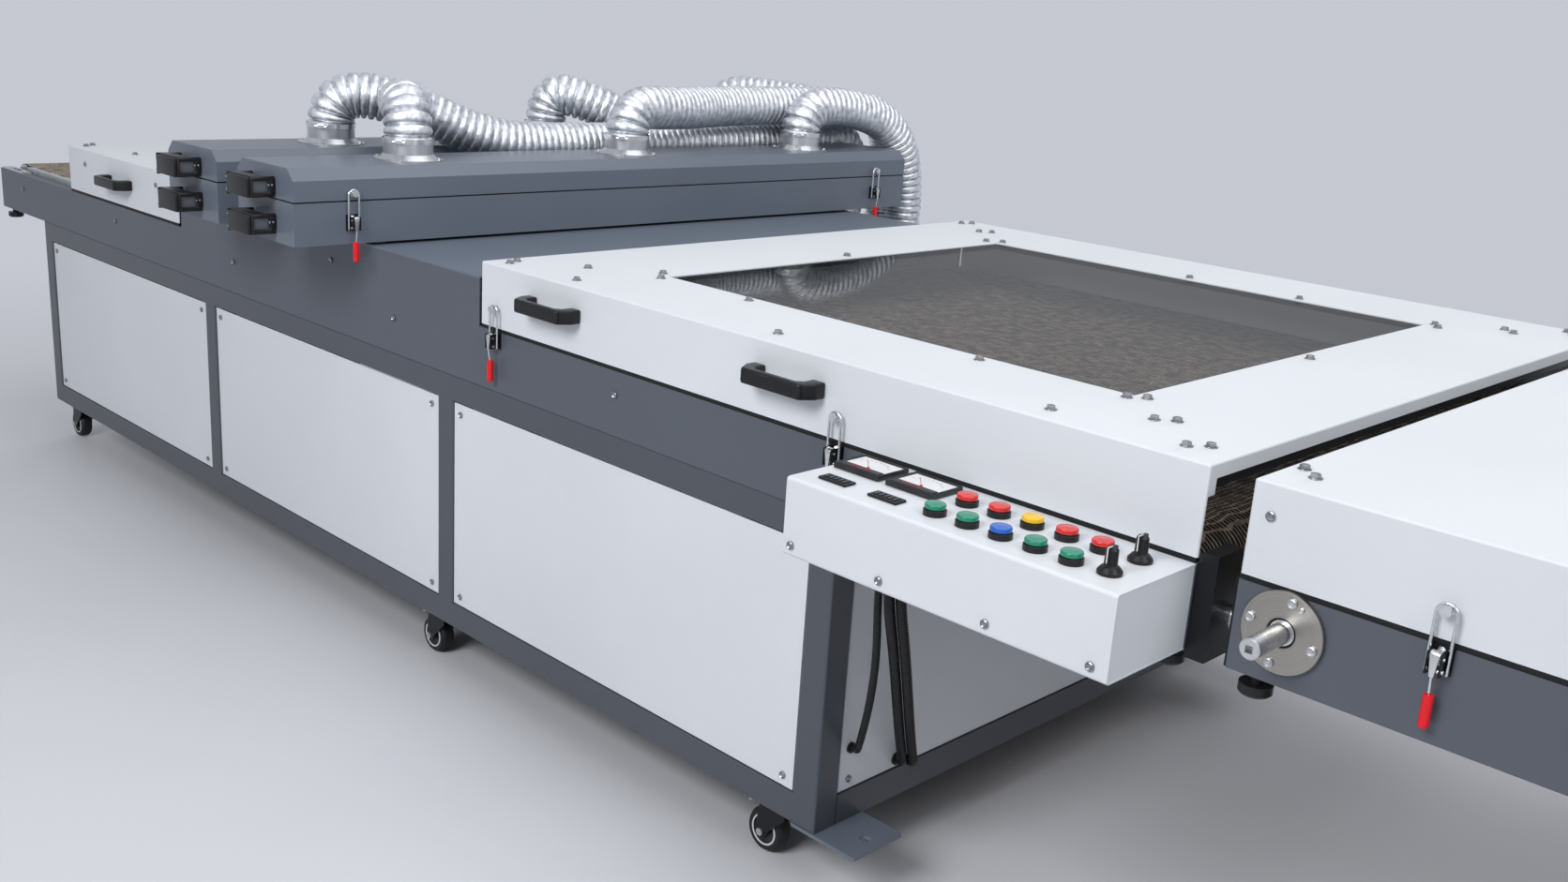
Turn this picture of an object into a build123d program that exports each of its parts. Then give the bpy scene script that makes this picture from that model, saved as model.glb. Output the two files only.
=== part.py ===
"""A conveyor UV curing machine with the first bay of the conveyor section that follows it.

Frame: millimetres, +X along the belt towards the outlet, +Y away from the operator, +Z up. The origin lies on
the floor, under the middle of the whole machine.
"""
import os
from math import radians, tan
from build123d import *

os.makedirs("parts", exist_ok=True)

# Base frame, of welded square tube
tube = 50
tube_corner = 4
bay_width = 933
main_bays = 3
outlet_bays = 1
machine_depth = 1390
base_height = 508
castor_height = 102

# Conveyor body
infeed_overhang = 308
outfeed_overhang = 558
section_gap = 55
channel_height = 110
channel_flange = 40
sheet = 3
middle_rise = 90
infeed_opening = 518
left_hood_length = 650
middle_gap = 16
main_hood_length = 1450
hood_clearance = 6

# Hoods
hood_height = 113
hood_sheet = 2
seal_height = 7
window_width = 948
window_depth = 950
window_from_left = 268
window_from_near = 210
window_lap = 12
glass_thickness = 5
end_wall_height = 39
end_flange = 19
curtain_inset = 12

# Belt
roller_radius = 58
roller_axis_height = 66
roller_inset = 62
belt_thickness = 2
belt_margin = 45
bed_margin = 30
shaft_radius = 12.5
journal_radius = 15
journal_step = 6
shaft_reach = 80

# Lamp housings
lamp_width = 222
lamp_pitch = 311
lamp_from_hood = 365
lamp_near_overhang = 164
lamp_far_overhang = 193
lamp_foot = 6
lamp_body_height = 81
lamp_lid_height = 64
lamp_chamfer = 22
lamp_sheet = 2
lamp_seam = 3

# Ducts
collar_from_end = 312
collar_pitch = 572
collar_radius = 50
collar_flange_radius = 70
collar_height = 41
collar_sheet = 2
duct_radius = 51
duct_gap = 0.3
duct_bend = 64
far_duct_reach = 365

# Connectors on the near ends of the lamp housings
plug_length = 88
plug_height = 42
plug_base_depth = 24
plug_depth = 57

# Control box
box_length = 507
box_depth = 164
box_sheet = 2
box_corner = 5
panel_pitch = 50.4
button_row_near = 121
button_row_far = 57
bezel_radius = 15
bezel_height = 8
cap_radius = 12
cap_height = 8
knob_gap = 0.3

# Places along the machine
main_base_length = main_bays * bay_width + (main_bays + 1) * tube
outlet_base_length = outlet_bays * bay_width + (outlet_bays + 1) * tube
main_length = infeed_overhang + main_base_length + outfeed_overhang
outlet_length = outfeed_overhang + outlet_base_length + infeed_overhang
total_length = main_length + section_gap + outlet_length
main_left = -total_length / 2
base_left = main_left + infeed_overhang
base_right = base_left + main_base_length
main_right = main_left + main_length
outlet_left = main_right + section_gap
outlet_base_left = outlet_left + outfeed_overhang
outlet_right = outlet_left + outlet_length
outlet_base_right = outlet_base_left + outlet_base_length
left_hood_left = main_left + infeed_opening
left_hood_right = left_hood_left + left_hood_length
main_hood_left = main_right - main_hood_length
middle_left = left_hood_right + middle_gap
middle_right = main_hood_left - hood_clearance

# Places across the machine
near_reach = lamp_near_overhang + plug_depth
far_reach = far_duct_reach + duct_radius
near_face = near_reach - (near_reach + machine_depth + far_reach) / 2
far_face = near_face + machine_depth

# Heights
base_bottom = castor_height
base_top = base_bottom + base_height
channel_top = base_top + channel_height
hood_bottom = channel_top + seal_height
hood_top = hood_bottom + hood_height
deck_top = channel_top + middle_rise
deck_bottom = deck_top - sheet
roller_z = base_top + roller_axis_height
belt_radius = roller_radius + belt_thickness
lamp_bottom = deck_top + lamp_foot
seam_bottom = lamp_bottom + lamp_body_height
seam_top = seam_bottom + lamp_seam
lid_top = seam_top + lamp_lid_height - lamp_seam
collar_top = lid_top + collar_height

# Places of the lamp housings
lamp_centres = [middle_right - lamp_from_hood - lamp_width / 2 - lamp_pitch * n for n in (1, 0)]
lamp_near = near_face - lamp_near_overhang
lamp_far = far_face + lamp_far_overhang
collar_rows = [lamp_near + collar_from_end + collar_pitch * n for n in range(3)]


def block(x, y, z, mode=Mode.ADD):
    """A plate, bar or cut between two x, two y and two z values, in the part being built."""
    with BuildSketch(Plane.XY.offset(z[0])) as outline:
        with Locations(((x[0] + x[1]) / 2, (y[0] + y[1]) / 2)):
            Rectangle(x[1] - x[0], y[1] - y[0])
    extrude(outline.sketch, amount=z[1] - z[0], mode=mode)


def copies(shape, places):
    """One shape repeated at each place, as separate solids."""
    with BuildPart() as group:
        with Locations(*places):
            add(shape)
    return group.part


def save(part, name):
    """Label a finished piece and write it."""
    part.label = name
    export_step(part, f"parts/{name}.step")


# Base frames: a ladder of tube on each long side, joined by cross rails
panel_recess = 3
panel_sheet = 2
panel_gap = 2.5
strip_width = 25
strip_sheet = 3
panel_back = panel_recess + panel_sheet


def side_frame(left, bays, side, inward):
    """One ladder frame, with the strips behind its panels that the screws go into."""
    length = bays * bay_width + (bays + 1) * tube
    with BuildPart() as frame:
        with BuildSketch(Plane.XZ.offset(-side)):
            with Locations((left + length / 2, base_bottom + base_height / 2)):
                Rectangle(length, base_height)
            for bay in range(bays):
                middle = left + tube + bay_width / 2 + bay * (bay_width + tube)
                with Locations((middle, base_bottom + base_height / 2)):
                    Rectangle(bay_width, base_height - 2 * tube, mode=Mode.SUBTRACT)
        extrude(amount=-inward * tube)
        outer = frame.edges().group_by(Axis.Y)[0] + frame.edges().group_by(Axis.Y)[-1]
        fillet(outer, tube_corner)
        strip_y = sorted((side + inward * panel_back, side + inward * (panel_back + strip_sheet)))
        heights = (base_bottom + tube, base_top - tube)
        for bay in range(bays):
            start = left + tube + bay * (bay_width + tube)
            block((start, start + strip_width), strip_y, heights)
            block((start + bay_width - strip_width, start + bay_width), strip_y, heights)
        across = sorted((side + inward * tube, side + inward * (tube + strip_width)))
        block((left + panel_back, left + panel_back + strip_sheet), across, heights)
        block((left + length - panel_back - strip_sheet, left + length - panel_back), across, heights)
    return frame.part


frames = [side_frame(base_left, main_bays, near_face, 1), side_frame(base_left, main_bays, far_face, -1)]
frames += [side_frame(outlet_base_left, outlet_bays, near_face, 1)]
frames += [side_frame(outlet_base_left, outlet_bays, far_face, -1)]
with BuildPart() as side_frames:
    for frame_solid in frames:
        add(frame_solid)
save(side_frames.part, "side_frames")

post_pitch = bay_width + tube
cross_places = [base_left + post_pitch * n for n in range(main_bays + 1)]
cross_places += [outlet_base_left + post_pitch * n for n in range(outlet_bays + 1)]
with BuildPart() as cross_rails:
    for start in cross_places:
        for bottom in (base_bottom, base_top - tube):
            inside = (near_face + tube, far_face - tube)
            block((start, start + tube), inside, (bottom, bottom + tube))
save(cross_rails.part, "cross_rails")

# Flat panels, set 3 mm back into the frame's openings
panel_z = (base_bottom + tube + panel_gap, base_top - tube - panel_gap)
bay_starts = [base_left + tube + post_pitch * n for n in range(main_bays)]
bay_starts += [outlet_base_left + tube + post_pitch * n for n in range(outlet_bays)]
end_faces = [(base_left, 1), (base_right, -1), (outlet_base_left, 1), (outlet_base_right, -1)]
with BuildPart() as base_panels:
    for start in bay_starts:
        panel_x = (start + panel_gap, start + bay_width - panel_gap)
        block(panel_x, (near_face + panel_recess, near_face + panel_back), panel_z)
        block(panel_x, (far_face - panel_back, far_face - panel_recess), panel_z)
    for face, inward in end_faces:
        panel_y = (near_face + tube + panel_gap, far_face - tube - panel_gap)
        block(sorted((face + inward * panel_recess, face + inward * panel_back)), panel_y, panel_z)
save(base_panels.part, "base_panels")

# Anchor plates welded under the outlet end of the main base
anchor_length = 84
anchor_width = 112
anchor_sheet = 6
anchor_hole = 9
anchor_corner = 5
with BuildPart() as anchor_plates:
    for y in (near_face + anchor_width / 2, far_face - anchor_width / 2):
        with BuildSketch(Plane.XY.offset(base_bottom - anchor_sheet)):
            with Locations((base_right + anchor_length / 2 - tube / 2, y)):
                RectangleRounded(anchor_length + tube, anchor_width, anchor_corner)
            with Locations((base_right + anchor_length * 0.68, y)):
                Circle(anchor_hole, mode=Mode.SUBTRACT)
        extrude(amount=anchor_sheet)
save(anchor_plates.part, "anchor_plates")

# Castors
wheel_radius = 37.5
wheel_width = 28
rim_radius = 27
hub_radius = 11
hub_width = 32
axle_radius = 4
nut_radius = 7
nut_height = 5
castor_trail = 24
fork_gap = 34
fork_sheet = 3
castor_plate = 66
castor_plate_sheet = 3
swivel_radius = 24
swivel_height = 10
castor_inset = 45
castor_near_end = 110
castor_middle = 1075
castor_far_end = 80
running_gap = 0.05
seat_gap = 0.3

castor_x = [base_right - castor_near_end, base_right - castor_middle, base_left + castor_far_end]
castor_x += [outlet_base_left + castor_far_end, outlet_base_right - castor_near_end]
castor_places = [(x, y, 0) for x in castor_x for y in (near_face + castor_inset, far_face - castor_inset)]
plate_z = castor_height - castor_plate_sheet
crown_z = plate_z - swivel_height
axle_x = -castor_trail

with BuildPart() as fork:
    with BuildSketch(Plane.XY.offset(plate_z)):
        RectangleRounded(castor_plate, castor_plate, 6)
    extrude(amount=castor_plate_sheet)
    with BuildSketch(Plane.XY.offset(crown_z)):
        Circle(swivel_radius)
    extrude(amount=swivel_height)
    crown = (crown_z - fork_sheet, crown_z)
    cheek_outer = fork_gap / 2 + fork_sheet
    block((-swivel_radius - 6, swivel_radius), (-cheek_outer, cheek_outer), crown)
    with BuildSketch(Plane.XZ.offset(-cheek_outer)):
        with BuildLine():
            Polyline(
                (swivel_radius, crown_z),
                (-swivel_radius - 6, crown_z),
                (axle_x - 13, wheel_radius + 4),
                (axle_x - 9, wheel_radius - 9),
                (axle_x + 9, wheel_radius - 9),
                (axle_x + 16, wheel_radius + 6),
                (swivel_radius, crown_z - 14),
                (swivel_radius, crown_z),
            )
        make_face()
        with Locations((axle_x, wheel_radius)):
            Circle(axle_radius + running_gap, mode=Mode.SUBTRACT)
    extrude(amount=fork_sheet)
    mirror(about=Plane.XZ)
save(copies(fork.part, castor_places), "castor_forks")

with BuildPart() as tyre:
    with BuildSketch(Plane.XZ):
        with BuildLine():
            Polyline(
                (rim_radius, -wheel_width / 2),
                (wheel_radius - 4, -wheel_width / 2),
                (wheel_radius, -wheel_width / 2 + 6),
                (wheel_radius, wheel_width / 2 - 6),
                (wheel_radius - 4, wheel_width / 2),
                (rim_radius, wheel_width / 2),
                (rim_radius, -wheel_width / 2),
            )
        make_face()
    revolve(axis=Axis.Z)
wheel_turn = Location((axle_x, 0, wheel_radius), (90, 0, 0))
save(copies(tyre.part.moved(wheel_turn), castor_places), "castor_tyres")

with BuildPart() as wheel:
    with BuildSketch(Plane.XZ):
        with BuildLine():
            Polyline(
                (axle_radius + running_gap, -hub_width / 2),
                (hub_radius, -hub_width / 2),
                (hub_radius, -wheel_width / 2 + 4),
                (rim_radius - 5, -wheel_width / 2 + 4),
                (rim_radius - 3, -wheel_width / 2),
                (rim_radius, -wheel_width / 2),
                (rim_radius, wheel_width / 2),
                (rim_radius - 3, wheel_width / 2),
                (rim_radius - 5, wheel_width / 2 - 4),
                (hub_radius, wheel_width / 2 - 4),
                (hub_radius, hub_width / 2),
                (axle_radius + running_gap, hub_width / 2),
                (axle_radius + running_gap, -hub_width / 2),
            )
        make_face()
    revolve(axis=Axis.Z)
save(copies(wheel.part.moved(wheel_turn), castor_places), "castor_wheels")

with BuildPart() as axle:
    axle_end = fork_gap / 2 + fork_sheet
    with BuildSketch(Plane.XZ.offset(-axle_end - nut_height)):
        with Locations((axle_x, wheel_radius)):
            Circle(axle_radius)
    extrude(amount=2 * (axle_end + nut_height))
    for start in (-axle_end - nut_height, axle_end):
        with BuildSketch(Plane.XZ.offset(start)):
            with Locations((axle_x, wheel_radius)):
                RegularPolygon(nut_radius, 6)
        extrude(amount=nut_height)
with BuildPart() as brake:
    with BuildSketch(Plane.XZ.offset(-fork_gap / 2 + 4)):
        with BuildLine():
            Polyline(
                (axle_x - 5, crown_z - fork_sheet),
                (axle_x - 34, crown_z - 8),
                (axle_x - 38, crown_z - 12),
                (axle_x - 38, crown_z - 15),
                (axle_x - 30, crown_z - 11),
                (axle_x - 5, crown_z - 2 * fork_sheet),
                (axle_x - 5, crown_z - fork_sheet),
            )
        make_face()
    extrude(amount=fork_gap - 8)
with BuildPart() as fitting:
    add(axle.part)
    add(brake.part)
save(copies(fitting.part, castor_places), "castor_fittings")

# Side channels: folded C sections, with the web raised beside the lamp deck
flange_hole = 17
spare_hole = 4
spare_hole_inset = 14
main_rollers = [main_left + roller_inset, main_right - roller_inset]
outlet_rollers = [outlet_left + roller_inset, outlet_right - roller_inset]


def channel(outline, left, right, side, inward, holes=()):
    """A web cut to an outline of x and z, with a flange along its foot and one at channel height."""
    with BuildPart() as piece:
        with BuildSketch(Plane.XZ.offset(-side)):
            with BuildLine():
                Polyline(*outline, close=True)
            make_face()
            for x, z, radius in holes:
                with Locations((x, z)):
                    Circle(radius, mode=Mode.SUBTRACT)
        extrude(amount=-inward * sheet)
        flange_y = sorted((side, side + inward * channel_flange))
        block((left, right), flange_y, (base_top, base_top + sheet))
        block((left, right), flange_y, (channel_top - sheet, channel_top))
    return piece.part


main_outline = [
    (main_left, base_top),
    (main_right, base_top),
    (main_right, channel_top),
    (middle_right, channel_top),
    (middle_right, deck_bottom),
    (middle_left, deck_bottom),
    (middle_left, channel_top),
    (main_left, channel_top),
]
outlet_outline = [
    (outlet_left, base_top),
    (outlet_right, base_top),
    (outlet_right, channel_top),
    (outlet_left, channel_top),
]
outlet_holes = [(outlet_rollers[0], roller_z, flange_hole), (outlet_left + spare_hole_inset, roller_z, spare_hole)]
channels = [channel(main_outline, main_left, main_right, near_face, 1)]
channels += [channel(main_outline, main_left, main_right, far_face, -1)]
channels += [channel(outlet_outline, outlet_left, outlet_right, near_face, 1, outlet_holes)]
channels += [channel(outlet_outline, outlet_left, outlet_right, far_face, -1)]
with BuildPart() as side_channels:
    for channel_solid in channels:
        add(channel_solid)
save(side_channels.part, "side_channels")

# Deck that carries the lamp housings
with BuildPart() as lamp_deck:
    block((middle_left, middle_right), (near_face, far_face), (deck_bottom, deck_top))
save(lamp_deck.part, "lamp_deck")

# Slider beds under the belts
bed_end_gap = 6
bed_top = roller_z + roller_radius
with BuildPart() as slider_beds:
    for first, last in (main_rollers, outlet_rollers):
        bed_x = (first + roller_radius + bed_end_gap, last - roller_radius - bed_end_gap)
        bed_y = (near_face + bed_margin, far_face - bed_margin)
        block(bed_x, bed_y, (channel_top, bed_top))
        under = (bed_y[0] + sheet, bed_y[1] - sheet)
        block(bed_x, under, (channel_top, bed_top - sheet), mode=Mode.SUBTRACT)
save(slider_beds.part, "slider_beds")

# Mesh belts, each one loop around its two rollers
with BuildPart() as mesh_belts:
    for first, last in (main_rollers, outlet_rollers):
        with BuildSketch(Plane.XZ.offset(-(near_face + belt_margin))):
            with Locations(((first + last) / 2, roller_z)):
                SlotCenterToCenter(last - first, 2 * belt_radius)
                SlotCenterToCenter(last - first, 2 * (roller_radius + running_gap), mode=Mode.SUBTRACT)
        extrude(amount=-(machine_depth - 2 * belt_margin))
save(mesh_belts.part, "mesh_belts")

# Rollers with their shafts, and the block bearings bolted inside the webs
bearing_width = 60
bearing_depth = 26
bearing_height = 62
bearing_end = 3
socket_side = 9
socket_depth = 12
shaft_chamfer = 1.5
drive_x = outlet_rollers[0]
with BuildPart() as belt_rollers:
    for x in main_rollers + outlet_rollers:
        with BuildSketch(Plane.XZ.offset(-(near_face + belt_margin))):
            with Locations((x, roller_z)):
                Circle(roller_radius)
        extrude(amount=-(machine_depth - 2 * belt_margin))
        journal_start = near_face - journal_step if x == drive_x else near_face + sheet + bearing_end
        with BuildSketch(Plane.XZ.offset(-journal_start)):
            with Locations((x, roller_z)):
                Circle(journal_radius)
        extrude(amount=-(far_face - sheet - bearing_end - journal_start))
    with BuildSketch(Plane.XZ.offset(-(near_face - journal_step))):
        with Locations((drive_x, roller_z)):
            Circle(shaft_radius)
    extrude(amount=shaft_reach - journal_step)
    chamfer(belt_rollers.edges().group_by(Axis.Y)[0], shaft_chamfer)
    with BuildSketch(Plane.XZ.offset(-(near_face - shaft_reach))):
        with Locations((drive_x, roller_z)):
            Rectangle(socket_side, socket_side)
    extrude(amount=-socket_depth, mode=Mode.SUBTRACT)
save(belt_rollers.part, "belt_rollers")

with BuildPart() as bearing:
    with BuildSketch(Plane.XZ):
        RectangleRounded(bearing_width, bearing_height, 8)
        Circle(journal_radius + running_gap, mode=Mode.SUBTRACT)
    extrude(amount=-bearing_depth)
bearing_places = [(x, near_face + sheet, roller_z) for x in main_rollers + outlet_rollers]
bearing_places += [(x, far_face - sheet - bearing_depth, roller_z) for x in main_rollers + outlet_rollers]
save(copies(bearing.part, bearing_places), "end_bearings")

# Round flange around the drive shaft
flange_radius = 49
flange_sheet = 8
with BuildPart() as shaft_flange:
    with BuildSketch(Plane.XZ.offset(-near_face)):
        with Locations((drive_x, roller_z)):
            Circle(flange_radius)
            Circle(flange_hole, mode=Mode.SUBTRACT)
    extrude(amount=flange_sheet)
    chamfer(shaft_flange.edges().group_by(Axis.Y)[0], 1)
save(shaft_flange.part, "shaft_flange")

# Slotted tension plates on the flanges at the open inlet end
tension_length = 150
tension_width = 26
tension_sheet = 4
with BuildPart() as tension_plates:
    for y in (near_face + tension_width / 2 + 2, far_face - tension_width / 2 - 2):
        with BuildSketch(Plane.XY.offset(channel_top)):
            with Locations((main_left + 10 + tension_length / 2, y)):
                Rectangle(tension_length, tension_width)
                SlotOverall(tension_length * 0.5, 11, mode=Mode.SUBTRACT)
        extrude(amount=tension_sheet)
save(tension_plates.part, "tension_plates")

# Brackets at the joint between the two sections, with tie rods and collars
bracket_reach = 26
bracket_drop = 8
bracket_rise = 15
bracket_width = 58
bracket_shoulder = 6
end_plate_sheet = 4
rod_radius = 12.5
rod_inset = 49
rod_drop = 67
collar_length = 14
rod_collar_radius = 22
rod_z = channel_top - rod_drop
end_plate_left = outlet_left - end_plate_sheet
with BuildPart() as joint_brackets:
    for side, inward in ((near_face, 1), (far_face, -1)):
        bracket_y = sorted((side + inward * sheet, side + inward * (sheet + bracket_width)))
        block((main_right, main_right + bracket_reach), bracket_y, (base_top - bracket_drop, channel_top))
        upper_x = (main_right + bracket_shoulder, main_right + bracket_reach)
        block(upper_x, bracket_y, (channel_top, channel_top + bracket_rise))
        plate_y = sorted((side + inward * sheet, side + inward * (rod_inset + rod_collar_radius)))
        block((end_plate_left, outlet_left), plate_y, (base_top, channel_top))
save(joint_brackets.part, "joint_brackets")

with BuildPart() as tie_rods:
    for y in (near_face + rod_inset, far_face - rod_inset):
        with BuildSketch(Plane.YZ.offset(main_right + bracket_reach)):
            with Locations((y, rod_z)):
                Circle(rod_radius)
        extrude(amount=section_gap - bracket_reach - end_plate_sheet)
        with BuildSketch(Plane.YZ.offset(end_plate_left - collar_length)):
            with Locations((y, rod_z)):
                Circle(rod_collar_radius)
        extrude(amount=collar_length)
save(tie_rods.part, "tie_rods")

# Levelling feet under the channel ends
foot_radius = 20
foot_height = 14
stud_radius = 8
stud_height = 14
foot_inset = 30
foot_x = [main_left + foot_inset, main_right - foot_inset, outlet_left + foot_inset, outlet_right - foot_inset]
with BuildPart() as foot:
    with BuildSketch(Plane.XY.offset(-stud_height)):
        Circle(stud_radius)
    extrude(amount=stud_height)
    with BuildSketch(Plane.XY.offset(-stud_height - foot_height)):
        Circle(foot_radius)
    extrude(amount=foot_height)
    chamfer(foot.faces().sort_by(Axis.Z)[0].edges(), 3)
foot_places = [(x, y, base_top) for x in foot_x for y in (near_face + 22, far_face - 22)]
save(copies(foot.part, foot_places), "levelling_feet")

# Hinges on the far side
hinge_offset = 8
hinge_radius = 6
pin_radius = 4
knuckle_length = 24
knuckle_gap = 1
leaf_height = 34
leaf_sheet = 2
hinge_z = channel_top + seal_height / 2
hinge_inset = 160
pin_clearance = 0.05


def knuckles(places, low, high):
    """Hinge barrels around the axis, each with a leaf between two heights on the far face."""
    for start in places:
        with BuildSketch(Plane.YZ.offset(start)) as barrel:
            with Locations((far_face + hinge_offset, hinge_z)):
                Circle(hinge_radius)
            middle_z = (low + high) / 2
            with Locations((far_face + leaf_sheet / 2, middle_z)):
                Rectangle(leaf_sheet, high - low)
            with Locations((far_face + hinge_offset / 2, hinge_z + (3 if middle_z > hinge_z else -3))):
                Rectangle(hinge_offset, 4)
            with Locations((far_face + hinge_offset, hinge_z)):
                Circle(pin_radius + pin_clearance, mode=Mode.SUBTRACT)
        extrude(barrel.sketch, amount=knuckle_length)


def hinge_places(left, right):
    """The middles of a hood's two hinges."""
    return [left + hinge_inset, right - hinge_inset]


hood_ends = [(left_hood_left, left_hood_right), (main_hood_left, main_right)]
outlet_cover_right = outlet_left + main_hood_length
hood_ends += [(outlet_left, outlet_cover_right)]
fixed_starts = []
for ends in hood_ends:
    for middle in hinge_places(*ends):
        fixed_starts += [middle - 1.5 * knuckle_length - knuckle_gap, middle + 0.5 * knuckle_length + knuckle_gap]
with BuildPart() as hinge_leaves:
    knuckles(fixed_starts, channel_top - leaf_height, hinge_z - 2)
    for ends in hood_ends:
        for middle in hinge_places(*ends):
            pin_start = middle - 1.5 * knuckle_length - knuckle_gap
            with BuildSketch(Plane.YZ.offset(pin_start)) as pin:
                with Locations((far_face + hinge_offset, hinge_z)):
                    Circle(pin_radius)
            extrude(pin.sketch, amount=3 * knuckle_length + 2 * knuckle_gap)
            for start in (pin_start, middle + 0.5 * knuckle_length + knuckle_gap):
                with BuildSketch(Plane.YZ.offset(start)) as weld:
                    with Locations((far_face + hinge_offset, hinge_z)):
                        Circle(pin_radius + 2 * pin_clearance)
                extrude(weld.sketch, amount=knuckle_length)
save(hinge_leaves.part, "hinge_leaves")

# Hoods: folded sheet, open below, with a window in the main one and openings at their ends
end_opening_top = hood_top - end_wall_height
hood_corner = 3


def hood(left, right, window=False):
    """One hood shell with its hinge barrels."""
    with BuildPart() as shell:
        block((left, right), (near_face, far_face), (hood_bottom, hood_top))
        upright = shell.edges().filter_by(Axis.Z)
        fillet(shell.faces().sort_by(Axis.Z)[-1].edges() + upright, hood_corner)
        inner_x = (left + hood_sheet, right - hood_sheet)
        inner_y = (near_face + hood_sheet, far_face - hood_sheet)
        block(inner_x, inner_y, (hood_bottom, hood_top - hood_sheet), mode=Mode.SUBTRACT)
        open_y = (near_face + hood_corner + 1, far_face - hood_corner - 1)
        block((left, right), open_y, (hood_bottom, end_opening_top), mode=Mode.SUBTRACT)
        if window:
            window_x = (left + window_from_left, left + window_from_left + window_width)
            window_y = (near_face + window_from_near, near_face + window_from_near + window_depth)
            block(window_x, window_y, (hood_top - 2 * hood_sheet, hood_top), mode=Mode.SUBTRACT)
            flange_y = (near_face + end_flange, far_face - end_flange)
            flange_z = (end_opening_top, hood_top - end_flange)
            block((right - hood_sheet, right), flange_y, flange_z, mode=Mode.SUBTRACT)
        starts = [middle - knuckle_length / 2 for middle in hinge_places(left, right)]
        knuckles(starts, hood_bottom, hood_bottom + leaf_height)
    return shell.part


save(hood(left_hood_left, left_hood_right), "left_hood")
save(hood(main_hood_left, main_right, window=True), "main_hood")
save(hood(outlet_left, outlet_cover_right), "outlet_cover")

# Window pane, bonded under the top sheet
with BuildPart() as window_pane:
    pane_left = main_hood_left + window_from_left - window_lap
    pane_near = near_face + window_from_near - window_lap
    pane_x = (pane_left, pane_left + window_width + 2 * window_lap)
    pane_y = (pane_near, pane_near + window_depth + 2 * window_lap)
    pane_top = hood_top - hood_sheet
    block(pane_x, pane_y, (pane_top - glass_thickness, pane_top))
save(window_pane.part, "window_pane")

# Dark plate behind the main hood's outlet flange, held by a fold under the top sheet
with BuildPart() as outlet_curtain:
    curtain_x = main_right - hood_sheet - curtain_inset
    curtain_y = (near_face + hood_sheet + seat_gap, far_face - hood_sheet - seat_gap)
    block((curtain_x - sheet, curtain_x), curtain_y, (end_opening_top, hood_top - hood_sheet))
save(outlet_curtain.part, "outlet_curtain")

# Rubber seals under the hoods' long edges and between the lamp housings and lids
seal_width = 9
lid_seal_inset = 2
with BuildPart() as rubber_seals:
    for left, right in hood_ends:
        for y in (near_face + 1, far_face - 1 - seal_width):
            block((left + 2, right - 2), (y, y + seal_width), (channel_top, hood_bottom - seat_gap))
    for centre in lamp_centres:
        half = lamp_width / 2 - lid_seal_inset
        seal_x = (centre - half, centre + half)
        seal_y = (lamp_near + lid_seal_inset, lamp_far - lid_seal_inset)
        block(seal_x, seal_y, (seam_bottom, seam_top))
        hollow_x = (seal_x[0] + seal_width, seal_x[1] - seal_width)
        hollow_y = (seal_y[0] + seal_width, seal_y[1] - seal_width)
        block(hollow_x, hollow_y, (seam_bottom, seam_top), mode=Mode.SUBTRACT)
save(rubber_seals.part, "rubber_seals")

# Lamp housings, trays on short feet, and their lids with chamfered shoulders
lamp_rim = 14
foot_bar = 20
with BuildPart() as lamp_housings:
    for centre in lamp_centres:
        lamp_x = (centre - lamp_width / 2, centre + lamp_width / 2)
        block(lamp_x, (lamp_near, lamp_far), (lamp_bottom, seam_bottom))
        tray_x = (lamp_x[0] + lamp_sheet, lamp_x[1] - lamp_sheet)
        tray_y = (lamp_near + lamp_sheet, lamp_far - lamp_sheet)
        tray_z = (lamp_bottom + lamp_sheet, seam_bottom - lamp_sheet)
        block(tray_x, tray_y, tray_z, mode=Mode.SUBTRACT)
        mouth_x = (lamp_x[0] + lamp_rim, lamp_x[1] - lamp_rim)
        mouth_y = (lamp_near + lamp_rim, lamp_far - lamp_rim)
        block(mouth_x, mouth_y, (seam_bottom - lamp_sheet, seam_bottom), mode=Mode.SUBTRACT)
        for y in (near_face + foot_bar, far_face - 2 * foot_bar):
            bar_x = (lamp_x[0] + foot_bar, lamp_x[1] - foot_bar)
            block(bar_x, (y, y + foot_bar), (deck_top, lamp_bottom))
save(lamp_housings.part, "lamp_housings")


def lid(centre):
    """One lid: a sheet box, open below, with its four top edges cut at an angle."""
    with BuildPart() as cover:
        lid_x = (centre - lamp_width / 2, centre + lamp_width / 2)
        block(lid_x, (lamp_near, lamp_far), (seam_top, lid_top))
        long_edges = cover.faces().sort_by(Axis.Z)[-1].edges().filter_by(Axis.Y)
        chamfer(long_edges, lamp_chamfer)
        offset(amount=-lamp_sheet, openings=cover.faces().sort_by(Axis.Z)[0])
    return cover.part


lids = [lid(centre) for centre in lamp_centres]
with BuildPart() as lamp_lids:
    for lid_solid in lids:
        add(lid_solid)
save(lamp_lids.part, "lamp_lids")

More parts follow.
